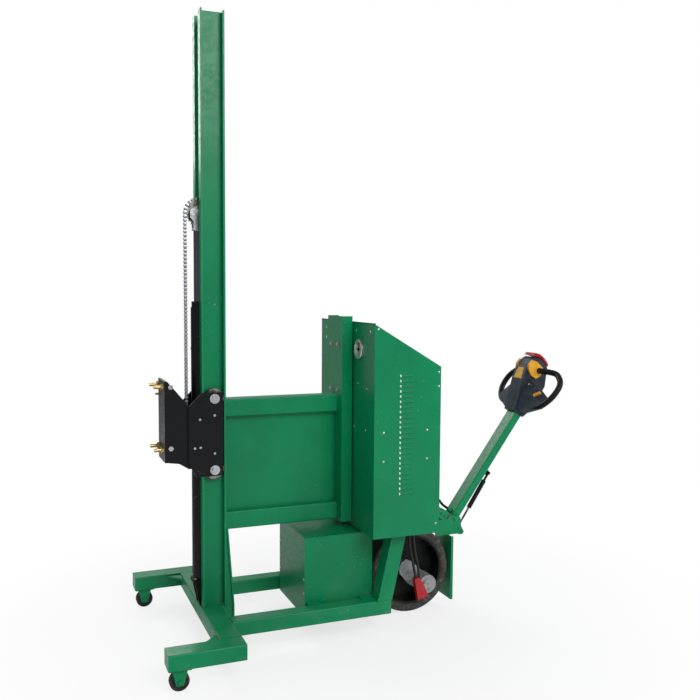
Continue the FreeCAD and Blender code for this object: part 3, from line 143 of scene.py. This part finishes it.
class Value:
    """A socket that can be used in Python expressions: each operator adds one Math node."""

    def __init__(self, board, socket):
        self.board, self.socket = board, socket

    def _maths(self, operation, *values):
        return self.board.node("ShaderNodeMath", {"operation": operation}, list(values))

    def __add__(self, other):
        return self._maths("ADD", self, other)

    __radd__ = __add__

    def __mul__(self, other):
        return self._maths("MULTIPLY", self, other)

    __rmul__ = __mul__

    def __sub__(self, other):
        return self._maths("SUBTRACT", self, other)

    def __rsub__(self, other):
        return self._maths("SUBTRACT", other, self)

    def __lt__(self, other):
        return self._maths("LESS_THAN", self, other)

    def __gt__(self, other):
        return self._maths("GREATER_THAN", self, other)

    def clipped(self):
        return self.board.node("ShaderNodeClamp", {}, [self, 0.0, 1.0])


class Board:
    """The nodes of one material."""

    def __init__(self, name):
        self.material = bpy.data.materials.new(name)
        self.material.use_nodes = True
        self.tree = self.material.node_tree
        self.shader = self.tree.nodes["Principled BSDF"]

    def node(self, kind, settings, inputs, output=0):
        """Adds a node, sets its settings first, then its inputs by index or by name."""
        made = self.tree.nodes.new(kind)
        for key, value in settings.items():
            setattr(made, key, value)
        pairs = inputs.items() if isinstance(inputs, dict) else enumerate(inputs)
        for key, value in pairs:
            self.put(made.inputs[key], value)
        return Value(self, made.outputs[output])

    def put(self, socket, value):
        if isinstance(value, Value):
            self.tree.links.new(value.socket, socket)
        elif value is not None:
            socket.default_value = value

    def place(self):
        return self.node("ShaderNodeTexCoord", {}, {}, "Object")

    def axes(self):
        split = self.tree.nodes.new("ShaderNodeSeparateXYZ")
        self.tree.links.new(self.place().socket, split.inputs[0])
        return [Value(self, split.outputs[i]) for i in range(3)]

    def noise(self, scale, detail=4.0, rough=0.55, stretch=None):
        where = self.place()
        if stretch:
            where = self.node("ShaderNodeMapping", {}, {"Vector": where, "Scale": stretch})
        return self.node("ShaderNodeTexNoise", {},
                         {"Vector": where, "Scale": scale, "Detail": detail, "Roughness": rough}, "Fac")

    def span(self, value, low, high, to_low=0.0, to_high=1.0):
        return self.node("ShaderNodeMapRange", {"interpolation_type": "SMOOTHSTEP"},
                         {"Value": value, "From Min": low, "From Max": high, "To Min": to_low, "To Max": to_high},
                         "Result")

    def mix(self, factor, first, second):
        made = self.tree.nodes.new("ShaderNodeMix")
        made.data_type = "RGBA"
        self.put(made.inputs[0], factor)
        for socket, colour in ((made.inputs[6], first), (made.inputs[7], second)):
            self.put(socket, (*colour, 1.0) if isinstance(colour, tuple) else colour)
        return Value(self, made.outputs[2])

    def bump(self, height, strength, distance):
        self.node_link(self.node("ShaderNodeBump", {}, {"Height": height, "Strength": strength,
                                                        "Distance": distance}, "Normal"), "Normal")

    def node_link(self, value, name):
        self.put(self.shader.inputs[name], value)


def plain_colour(value):
    return tuple(float(v) for v in value)[:3]


def enamel(name, colour, rough, coat, peel=0.06, shine=0.22):
    """Sprayed enamel: slow shade drift, dust that gathers low down, small chips and orange peel."""
    b = Board(name)
    _, _, z = b.axes()
    drift = b.noise(2.2, 3.0)
    fine = b.noise(55.0, 5.0)
    dark = tuple(c * 0.88 for c in colour)
    light = tuple(min(1.0, c * 1.07) for c in colour)
    base = b.mix(b.span(drift, 0.35, 0.65), dark, light)
    low = b.span(z, 0.45, 0.02) * b.span(b.noise(9.0, 6.0), 0.42, 0.68) * 0.10
    dusty = b.mix(low, base, (0.20, 0.19, 0.165))
    speck = b.span(b.noise(130.0, 2.0, 0.3), 0.735, 0.76) * b.span(b.noise(6.0), 0.50, 0.62) * 0.7
    b.node_link(b.mix(speck, dusty, (0.30, 0.30, 0.29)), "Base Color")
    b.node_link(b.span(fine, 0.3, 0.7, rough * 0.8, rough * 1.25) + low * 0.5, "Roughness")
    b.shader.inputs["Coat Weight"].default_value = coat
    b.shader.inputs["Coat Roughness"].default_value = 0.12
    b.shader.inputs["Specular IOR Level"].default_value = shine
    b.bump(b.noise(160.0, 2.0, 0.4), peel, 0.0003)
    return b.material


def metal(name, colour, rough, grain, tint=None):
    """Worked metal: fine grain stretched along Z, and a stain that darkens it in patches."""
    b = Board(name)
    streak = b.noise(grain, 4.0, 0.6, (1.0, 1.0, 0.12))
    patch = b.span(b.noise(14.0, 4.0), 0.42, 0.66)
    shade = b.mix(b.span(streak, 0.3, 0.7), tuple(c * 0.82 for c in colour), colour)
    b.node_link(b.mix(patch * 0.45, shade, tint or tuple(c * 0.6 for c in colour)), "Base Color")
    b.shader.inputs["Metallic"].default_value = 1.0
    b.node_link(b.span(streak, 0.25, 0.75, rough * 0.75, rough * 1.3), "Roughness")
    b.bump(streak, 0.08, 0.0002)
    return b.material


def moulding(name, colour, rough, grain, depth, coat=0.0):
    """Moulded plastic: an even leather-like grain and slight handling shine."""
    b = Board(name)
    b.shader.inputs["Specular IOR Level"].default_value = 0.2
    cells = b.node("ShaderNodeTexVoronoi", {"feature": "SMOOTH_F1"},
                   {"Vector": b.place(), "Scale": grain, "Smoothness": 0.6}, "Distance")
    wear = b.span(b.noise(18.0, 4.0), 0.40, 0.70)
    b.node_link(b.mix(wear, tuple(c * 0.88 for c in colour), tuple(min(1.0, c * 1.15 + 0.003) for c in colour)),
                "Base Color")
    b.node_link(b.span(b.noise(30.0), 0.3, 0.7, rough * 0.85, rough * 1.15), "Roughness")
    b.shader.inputs["Coat Weight"].default_value = coat
    b.bump(cells, depth, 0.0005)
    return b.material


def rubber(name, colour, dust):
    """Solid rubber: matt, with scuffed grey dust where it meets the floor and fine scratches."""
    b = Board(name)
    scuff = b.span(b.noise(40.0, 6.0, 0.65, (1.0, 3.0, 1.0)), 0.45, 0.70)
    b.node_link(b.mix(scuff * dust, colour, (0.14, 0.135, 0.125)), "Base Color")
    b.node_link(b.span(b.noise(25.0, 4.0), 0.3, 0.7, 0.62, 0.86), "Roughness")
    b.bump(b.noise(170.0, 3.0), 0.22, 0.0006)
    return b.material


def chain_steel(name, colour):
    """Oiled steel: brown film in patches over dull bright steel."""
    b = Board(name)
    film = b.span(b.noise(45.0, 4.0), 0.40, 0.65)
    b.node_link(b.mix(film, colour, (0.045, 0.037, 0.028)), "Base Color")
    b.shader.inputs["Metallic"].default_value = 0.9
    b.node_link(b.span(b.noise(30.0), 0.3, 0.7, 0.28, 0.50), "Roughness")
    b.bump(b.noise(120.0, 3.0), 0.12, 0.0003)
    return b.material


def casting(name, colour):
    """Sand-cast alloy: a coarse skin with darker hollows."""
    b = Board(name)
    skin = b.noise(90.0, 6.0, 0.6)
    b.node_link(b.mix(b.span(skin, 0.35, 0.65), tuple(c * 0.6 for c in colour), colour), "Base Color")
    b.shader.inputs["Metallic"].default_value = 0.45
    b.node_link(b.span(skin, 0.3, 0.7, 0.42, 0.62), "Roughness")
    b.bump(skin, 0.35, 0.0008)
    return b.material


def link_chain(name, colour, front, rear, top, wheel, pitch, full):
    """Lift chain drawn on plain plates: each link is drawn in at its middle, with painted shade
    between two pins. On the straight runs the count goes along Z, and over the sprocket along
    the turn; both are cut away at the waists, so that the run's outline is scalloped."""
    b = Board(name)
    x, y, z = b.axes()
    middle = (front + rear) / 2
    across, up = x - middle, z - top
    turn = b.node("ShaderNodeMath", {"operation": "ARCTAN2"}, [up, across])
    above = up > 0.0
    distance = (turn * wheel) * above + (up * (1.0 - above))
    reach = b.node("ShaderNodeMath", {"operation": "SQRT"}, [across * across + up * up])
    flat = b.node("ShaderNodeMath", {"operation": "ABSOLUTE"}, [across])
    off = b.node("ShaderNodeMath", {"operation": "ABSOLUTE"},
                 [(reach * above + flat * (1.0 - above)) - wheel])
    wave = b.node("ShaderNodeMath", {"operation": "COSINE"}, [distance * (2 * math.pi / pitch)])
    half = full * 0.79 + wave * (full * 0.21)
    b.node_link(off < half, "Alpha")
    # Painted shade: the waist between two pins is mixed to near black, where shade falls between the plates.
    painted_gap_shade = b.span(wave, -0.95, -0.55)
    pin = b.span(off, full * 0.20, full * 0.32) * b.span(wave, 0.72, 0.88) + b.span(wave, 0.88, 0.72)
    shade = b.mix(painted_gap_shade, (0.045, 0.042, 0.040), colour)
    b.node_link(b.mix(pin.clipped(), tuple(c * 1.25 for c in colour), shade), "Base Color")
    b.shader.inputs["Metallic"].default_value = 0.85
    b.node_link(b.span(b.noise(60.0), 0.3, 0.7, 0.26, 0.44), "Roughness")
    b.bump(wave, 0.4, 0.0006)
    return b.material


def plugged_cable(name, sheath, plug, low):
    """Cable sheath above, and a red connector housing with moulded ribs below a height."""
    b = Board(name)
    _, _, z = b.axes()
    below = z < low
    rib = b.node("ShaderNodeMath", {"operation": "SINE"}, [z * 900.0])
    b.node_link(b.mix(below, sheath, b.mix(b.span(b.noise(60.0), 0.3, 0.7), plug, tuple(c * 0.75 for c in plug))),
                "Base Color")
    b.node_link(b.span(b.noise(40.0), 0.3, 0.7, 0.38, 0.52), "Roughness")
    b.bump(rib * below, 0.25, 0.0005)
    return b.material


def louvre_paint(name, green, front):
    """Enamel on the pressed louvres, with a painted glint of light at the end where each lip was sheared."""
    b = Board(name)
    x, _, _ = b.axes()
    # Painted highlight: the front end of each louvre is mixed to a pale grey as a glint of light, not as bare metal.
    bright = (x < front + 0.0055) * (b.span(b.noise(120.0), 0.25, 0.45))
    shade = b.mix(b.span(b.noise(2.2, 3.0), 0.35, 0.65), tuple(c * 0.84 for c in green), green)
    b.node_link(b.mix(bright, shade, (0.70, 0.74, 0.72)), "Base Color")
    b.node_link(bright * 0.12 + 0.30, "Roughness")
    b.shader.inputs["Specular IOR Level"].default_value = 0.25
    return b.material


SLOTS = {}
OWN = {}


def make_finishes(look):
    green, black = plain_colour(look.green), plain_colour(look.black)
    SLOTS.update(
        green_paint=enamel("green_enamel", green, 0.34, 0.06),
        black_paint=enamel("black_enamel", black, 0.40, 0.04, 0.10, 0.20),
        # The chrome's colour is set near black: a painted reflection of a dark room, much darker than the bright steel
        # itself.
        bright_steel=metal("chrome_with_painted_dark_reflection", (0.12, 0.12, 0.16), 0.12, 40.0),
        zinc_steel=metal("zinc_plate", (0.58, 0.60, 0.63), 0.30, 120.0, (0.35, 0.36, 0.34)),
        chain_steel=chain_steel("oiled_chain", (0.30, 0.29, 0.27)),
        tyre_rubber=rubber("drive_rubber", (0.030, 0.029, 0.027), 0.60),
        caster_rubber=rubber("caster_rubber_skin", (0.014, 0.014, 0.015), 0.30),
        cast_alloy=casting("cast_motor_skin", (0.42, 0.43, 0.44)),
        grey_plastic=moulding("slate_moulding", plain_colour(look.head), 0.50, 900.0, 0.16),
        black_plastic=moulding("black_moulding", (0.004, 0.0042, 0.005), 0.42, 900.0, 0.14),
        orange_plastic=moulding("amber_moulding", plain_colour(look.amber), 0.42, 900.0, 0.12),
        red_plastic=moulding("red_moulding", (0.42, 0.008, 0.010), 0.46, 900.0, 0.02),
        cable_rubber=moulding("cable_sheath", (0.011, 0.011, 0.012), 0.55, 700.0, 0.12),
        grey_machinery=enamel("machine_grey", (0.115, 0.12, 0.128), 0.40, 0.2),
    )
    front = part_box("chain_front")
    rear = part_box("chain_rear")
    x_front, x_rear = (front[0][0] + front[1][0]) / 2, (rear[0][0] + rear[1][0]) / 2
    links = link_chain("lift_chain_links", (0.36, 0.37, 0.40), x_front, x_rear, front[1][2],
                       (x_rear - x_front) / 2, CHAIN_PITCH, (front[1][0] - front[0][0]) / 2)
    plug_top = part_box("motor_cables")[0][2] + PLUG_HEIGHT
    OWN.update(chain_front=links, chain_rear=links, chain_turn=links,
               motor_cables=plugged_cable("plugged_cable", (0.010, 0.010, 0.011), (0.50, 0.012, 0.016), plug_top),
               crosshead=metal("turned_steel", (0.42, 0.44, 0.48), 0.34, 150.0),
               vent_louvres=louvre_paint("louvre_enamel", green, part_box("vent_louvres")[0][0]),
               tool_studs=metal("yellow_zinc", (0.55, 0.40, 0.16), 0.28, 120.0, (0.28, 0.30, 0.16)),
               gauge_body=metal("gauge_silver", (0.72, 0.72, 0.70), 0.34, 200.0, (0.60, 0.60, 0.58)))
    return SLOTS


# ---------------------------------------------------------------- sizes and colours

class StackerLook(bpy.types.PropertyGroup):
    green: bpy.props.FloatVectorProperty(name="Paint green", description="Colour of the enamel on the frame",
                                         subtype="COLOR", size=3, min=0.0, max=1.0, default=(0.0, 0.225, 0.086))
    black: bpy.props.FloatVectorProperty(name="Carriage black", description="Colour of the black enamel",
                                         subtype="COLOR", size=3, min=0.0, max=1.0, default=(0.0025, 0.0028, 0.0038))
    head: bpy.props.FloatVectorProperty(name="Head grey", description="Colour of the control head's moulding",
                                        subtype="COLOR", size=3, min=0.0, max=1.0, default=(0.026, 0.034, 0.046))
    amber: bpy.props.FloatVectorProperty(name="Control amber", description="Colour of the throttles and keys",
                                         subtype="COLOR", size=3, min=0.0, max=1.0, default=(0.72, 0.36, 0.028))
    bead: bpy.props.FloatProperty(name="Weld bead", description="Half width of a weld bead", unit="LENGTH",
                                  min=0.001, max=0.01, default=0.0034)


def look():
    return bpy.context.scene.stacker_look


# ---------------------------------------------------------------- operators

class STACKER_OT_finishes(bpy.types.Operator):
    """Gives every CAD node the finish of its material slot"""
    bl_idname = "stacker.finishes"
    bl_label = "Finishes"

    def execute(self, context):
        finishes = make_finishes(look())
        for entry in RECORD["subparts"]:
            name = entry["node"]
            mesh = frame["nodes"][name].data
            mesh.materials.clear()
            mesh.materials.append(OWN.get(name, finishes[entry["material_slot"]]))
        return {"FINISHED"}


def bead(start, end, radius):
    """A weld bead: a line from start to end whose radius swells and pinches every few
    millimetres, like overlapped pools."""
    start, end = np.asarray(start, float), np.asarray(end, float)
    length = np.linalg.norm(end - start)
    steps = max(8, int(length / 0.0016))
    t = np.linspace(0.0, 1.0, steps)
    path = start + (end - start) * t[:, None]
    swell = radius * (0.90 + 0.16 * np.abs(np.sin(t * length / 0.0058 * np.pi)))
    return swept(path, swell * np.minimum(1.0, np.minimum(t, 1 - t) * length / 0.004 + 0.25), 7)


class STACKER_OT_welds(bpy.types.Operator):
    """Lays the weld beads where frame members meet"""
    bl_idname = "stacker.welds"
    bl_label = "Welds"

    def execute(self, context):
        r = look().bead
        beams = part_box("cross_beam")
        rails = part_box("base_rails")
        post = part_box("rear_posts")
        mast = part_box("mast_channels")
        grids = []
        for y in (rails[0][1], rails[1][1]):
            x = beams[1][0]
            grids.append(bead((x, y, rails[0][2] + 0.012), (x, y, rails[1][2] - 0.004), r))
        for sign in (-1, 1):
            y = sign * abs(post[0][1])
            x = post[0][0]
            grids.append(bead((x, y, post[0][2] + 0.012), (x, y, min(post[1][2], rails[1][2]) - 0.002), r))
            grids.append(bead((mast[1][0], sign * 0.02, beams[1][2]), (mast[1][0], sign * abs(mast[1][1]), beams[1][2]),
                              r))
        obj = to_object("weld_beads", grids)
        obj.data.materials.append(SLOTS["green_paint"])
        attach(obj, "frame")
        return {"FINISHED"}


def arm_point(distance, across, out):
    """A point in the tiller arm's own frame, put into the object's: distance along the arm
    from its pivot, across to the side, and out from its upper face."""
    pivot = JOINTS["tiller_tilt"]["pos_m"]
    c, s = math.cos(ARM_LEAN), math.sin(ARM_LEAN)
    return np.array([pivot[0] + distance * c - out * s, across, pivot[2] + distance * s + out * c])


def arm_up():
    c, s = math.cos(ARM_LEAN), math.sin(ARM_LEAN)
    return np.array([-s, 0.0, c])


def surface_out(node, distance, across):
    """How far out the node's skin lies at a place on the arm, by a ray dropped from above."""
    obj = frame["nodes"][node]
    start = arm_point(distance, across, RAY_START)
    hit, where, _, _ = obj.ray_cast(Vector(start), Vector(-arm_up()))
    if not hit:
        raise RuntimeError(f"nothing under the pad at {distance}, {across}")
    return RAY_START - (Vector(start) - where).length


def draped_pad(name, node, places, thick=0.0012):
    """A thin pad laid on a node: rows of (distance, across) places dropped on the node's skin,
    lifted by a hair, and closed underneath, so that the pad is a solid skin."""
    rows, columns = places.shape[:2]
    upper = np.empty((rows, columns, 3))
    lower = np.empty((rows, columns, 3))
    for i, j in np.ndindex(rows, columns):
        d, a = places[i, j]
        out = surface_out(node, d, a)
        edge = i in (0, rows - 1) or j in (0, columns - 1)
        upper[i, j] = arm_point(d, a, out + (thick * 0.35 if edge else thick))
        lower[i, j] = arm_point(d, a, out - 0.0008)
    ring = np.concatenate([upper, lower[:, ::-1]], axis=1)
    closed = np.concatenate([ring.mean(axis=1, keepdims=True).repeat(ring.shape[1], axis=1)[:1], ring,
                             ring.mean(axis=1, keepdims=True).repeat(ring.shape[1], axis=1)[-1:]], axis=0)
    return to_object(name, [closed])


class STACKER_OT_head_trim(bpy.types.Operator):
    """Adds the amber panel and the two small lamps on the control head"""
    bl_idname = "stacker.head_trim"
    bl_label = "Head trim"

    def execute(self, context):
        u = np.linspace(0.0, 1.0, 16)
        v = np.linspace(-1.0, 1.0, 12)
        distance = 0.751 + u * 0.056
        half = 0.034 - u * 0.010
        places = np.stack(np.broadcast_arrays(distance[:, None], v[None, :] * half[:, None]), axis=-1)
        pad = draped_pad("head_panel", "control_head", places)
        pad.data.materials.append(SLOTS["orange_plastic"])
        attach(pad, "tiller")
        for name, across, pale, deep in (("head_lamp_yellow", -0.062, (0.85, 0.68, 0.10), (0.75, 0.55, 0.05)),
                                         ("head_lamp_blue", -0.074, (0.06, 0.16, 0.55), (0.03, 0.10, 0.42))):
            lens = Board(name)
            lens.node_link(lens.mix(lens.span(lens.noise(60.0), 0.3, 0.7), deep, pale), "Base Color")
            lens.node_link(lens.span(lens.noise(80.0), 0.3, 0.7, 0.16, 0.28), "Roughness")
            out = surface_out("control_head", LAMP_PLACE, across)
            rise = np.linspace(0.0, 1.0, 8)
            dome = np.stack([0.0042 * np.sqrt(1.0 - rise ** 2), 0.0022 * rise], axis=1)
            profile = np.concatenate([[[0.0, -0.0010], [0.0042, -0.0010]], dome])
            lamp = to_object(name, [turned(arm_point(LAMP_PLACE, across, out), arm_up(), profile, 20)])
            lamp.data.materials.append(lens.material)
            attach(lamp, "tiller")
        return {"FINISHED"}


class STACKER_OT_gauge_marks(bpy.types.Operator):
    """Adds the raised scale marks on the battery gauge's face"""
    bl_idname = "stacker.gauge_marks"
    bl_label = "Gauge marks"

    def execute(self, context):
        hub = JOINTS["needle_turn"]["pos_m"]
        low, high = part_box("gauge_body")
        radius = (high[2] - low[2]) / 2 * 0.60
        angles = np.radians(np.linspace(-60.0, 60.0, 9))
        obj = frame["nodes"]["gauge_body"]
        grids = []
        for angle in angles:
            y, z = math.sin(angle), math.cos(angle)
            centre = np.array([0.0, hub[1] + radius * y, hub[2] + radius * z])
            hit, where, _, _ = obj.ray_cast(Vector((low[0] - 0.05, centre[1], centre[2])), Vector((1, 0, 0)))
            if not hit:
                raise RuntimeError("a gauge mark misses the gauge's face")
            x = where.x - 0.0002
            inner = np.array([x, hub[1] + (radius - 0.003) * y, hub[2] + (radius - 0.003) * z])
            outer = np.array([x, hub[1] + (radius + 0.003) * y, hub[2] + (radius + 0.003) * z])
            path = inner + (outer - inner) * np.linspace(0, 1, 5)[:, None]
            grids.append(swept(path, np.full(5, 0.0006), 6))
        marks = to_object("gauge_marks", grids)
        marks.data.materials.append(SLOTS["black_plastic"])
        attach(marks, "frame")
        return {"FINISHED"}


def white_where_seen(material, shade):
    """A surface that the lens sees as plain white, and that lights the object as a pale floor."""
    tree = material.node_tree
    tree.nodes.clear()
    out = tree.nodes.new("ShaderNodeOutputMaterial")
    diffuse = tree.nodes.new("ShaderNodeBsdfDiffuse")
    diffuse.inputs["Color"].default_value = (shade, shade, shade, 1.0)
    glow = tree.nodes.new("ShaderNodeEmission")
    path = tree.nodes.new("ShaderNodeLightPath")
    place = tree.nodes.new("ShaderNodeTexCoord")
    reach = tree.nodes.new("ShaderNodeVectorMath")
    reach.operation = "LENGTH"
    tree.links.new(place.outputs["Object"], reach.inputs[0])
    fade = tree.nodes.new("ShaderNodeMapRange")
    fade.inputs["From Min"].default_value, fade.inputs["From Max"].default_value = 0.6, 1.9
    fade.inputs["To Min"].default_value, fade.inputs["To Max"].default_value = 0.72, 1.0
    tree.links.new(reach.outputs["Value"], fade.inputs["Value"])
    seen = tree.nodes.new("ShaderNodeMath")
    seen.operation = "MULTIPLY"
    tree.links.new(path.outputs["Is Camera Ray"], seen.inputs[0])
    tree.links.new(fade.outputs["Result"], seen.inputs[1])
    mixer = tree.nodes.new("ShaderNodeMixShader")
    tree.links.new(seen.outputs[0], mixer.inputs[0])
    tree.links.new(diffuse.outputs[0], mixer.inputs[1])
    tree.links.new(glow.outputs[0], mixer.inputs[2])
    tree.links.new(mixer.outputs[0], out.inputs["Surface"])


class STACKER_OT_stage(bpy.types.Operator):
    """Makes the pale floor, the lamps, the world and the camera"""
    bl_idname = "stacker.stage"
    bl_label = "Stage"

    def execute(self, context):
        scene = context.scene
        u = np.linspace(-14.0, 14.0, 3)
        grid = np.stack(np.meshgrid(u, u, indexing="ij"), axis=-1).reshape(-1, 2)
        mesh = bpy.data.meshes.new("studio_floor")
        corners = np.concatenate([grid, np.full((9, 1), -0.0005)], axis=1)
        mesh.from_pydata(corners, [], [(0, 3, 4, 1), (1, 4, 5, 2), (3, 6, 7, 4), (4, 7, 8, 5)])
        floor = bpy.data.objects.new("studio_floor", mesh)
        scene.collection.objects.link(floor)
        material = bpy.data.materials.new("studio_white")
        material.use_nodes = True
        white_where_seen(material, 0.90)
        mesh.materials.append(material)
        world = bpy.data.worlds.new("studio_world")
        scene.world = world
        world.use_nodes = True
        tree = world.node_tree
        tree.nodes.clear()
        path = tree.nodes.new("ShaderNodeLightPath")
        seen = tree.nodes.new("ShaderNodeMath")
        seen.operation = "MAXIMUM"
        tree.links.new(path.outputs["Is Camera Ray"], seen.inputs[0])
        tree.links.new(path.outputs["Is Transmission Ray"], seen.inputs[1])
        dim, bright = tree.nodes.new("ShaderNodeBackground"), tree.nodes.new("ShaderNodeBackground")
        dim.inputs[0].default_value, dim.inputs[1].default_value = (0.95, 0.97, 1.0, 1.0), 0.42
        bright.inputs[0].default_value, bright.inputs[1].default_value = (1.0, 1.0, 1.0, 1.0), 1.0
        mixer, out = tree.nodes.new("ShaderNodeMixShader"), tree.nodes.new("ShaderNodeOutputWorld")
        tree.links.new(seen.outputs[0], mixer.inputs[0])
        tree.links.new(dim.outputs[0], mixer.inputs[1])
        tree.links.new(bright.outputs[0], mixer.inputs[2])
        tree.links.new(mixer.outputs[0], out.inputs[0])
        target = Vector((0.0, 0.0, 1.0))
        for name, place, size, power in (("key_lamp", (0.4, -5.2, 4.2), 2.6, 170.0),
                                         ("fill_lamp", (4.2, -2.0, 2.6), 2.4, 60.0),
                                         ("back_lamp", (-1.0, 4.5, 4.0), 3.0, 110.0)):
            lamp = bpy.data.lights.new(name, "AREA")
            lamp.size, lamp.energy = size, power
            holder = bpy.data.objects.new(name, lamp)
            holder.location = place
            holder.rotation_euler = (target - Vector(place)).to_track_quat("-Z", "Y").to_euler()
            scene.collection.objects.link(holder)
        lens = bpy.data.cameras.new("camera")
        lens.lens, lens.sensor_width = LENS_MM, SENSOR_MM
        lens.clip_start, lens.clip_end = 0.05, 60.0
        eye = bpy.data.objects.new("camera", lens)
        turn, dip, roll = (math.radians(a) for a in (EYE_TURN, EYE_DIP, EYE_ROLL))
        ahead = Vector((math.sin(turn) * math.cos(dip), math.cos(turn) * math.cos(dip), -math.sin(dip)))
        aim = ahead.to_track_quat("-Z", "Y").to_matrix().to_4x4() @ Matrix.Rotation(roll, 4, "Z")
        eye.matrix_world = Matrix.Translation(EYE_PLACE) @ aim
        scene.collection.objects.link(eye)
        scene.camera = eye
        scene.view_settings.view_transform = "Standard"
        return {"FINISHED"}


OPERATORS = (STACKER_OT_finishes, STACKER_OT_welds, STACKER_OT_head_trim, STACKER_OT_gauge_marks, STACKER_OT_stage)


class STACKER_PT_panel(bpy.types.Panel):
    """Lists the pieces' operators and the sizes and colours that they use"""
    bl_idname = "STACKER_PT_panel"
    bl_label = "Walkie stacker"
    bl_space_type = "VIEW_3D"
    bl_region_type = "UI"
    bl_category = "Stacker"

    def draw(self, context):
        for name in ("green", "black", "head", "amber", "bead"):
            self.layout.prop(context.scene.stacker_look, name)
        for operator in OPERATORS:
            self.layout.operator(operator.bl_idname)


CLASSES = (StackerLook, *OPERATORS, STACKER_PT_panel)


def register():
    for item in CLASSES:
        bpy.utils.register_class(item)
    bpy.types.Scene.stacker_look = bpy.props.PointerProperty(type=StackerLook)


def unregister():
    del bpy.types.Scene.stacker_look
    for item in reversed(CLASSES):
        bpy.utils.unregister_class(item)


def main():
    register()
    for operator in OPERATORS:
        group, name = operator.bl_idname.split(".")
        getattr(getattr(bpy.ops, group), name)()


if __name__ == "__main__":
    main()
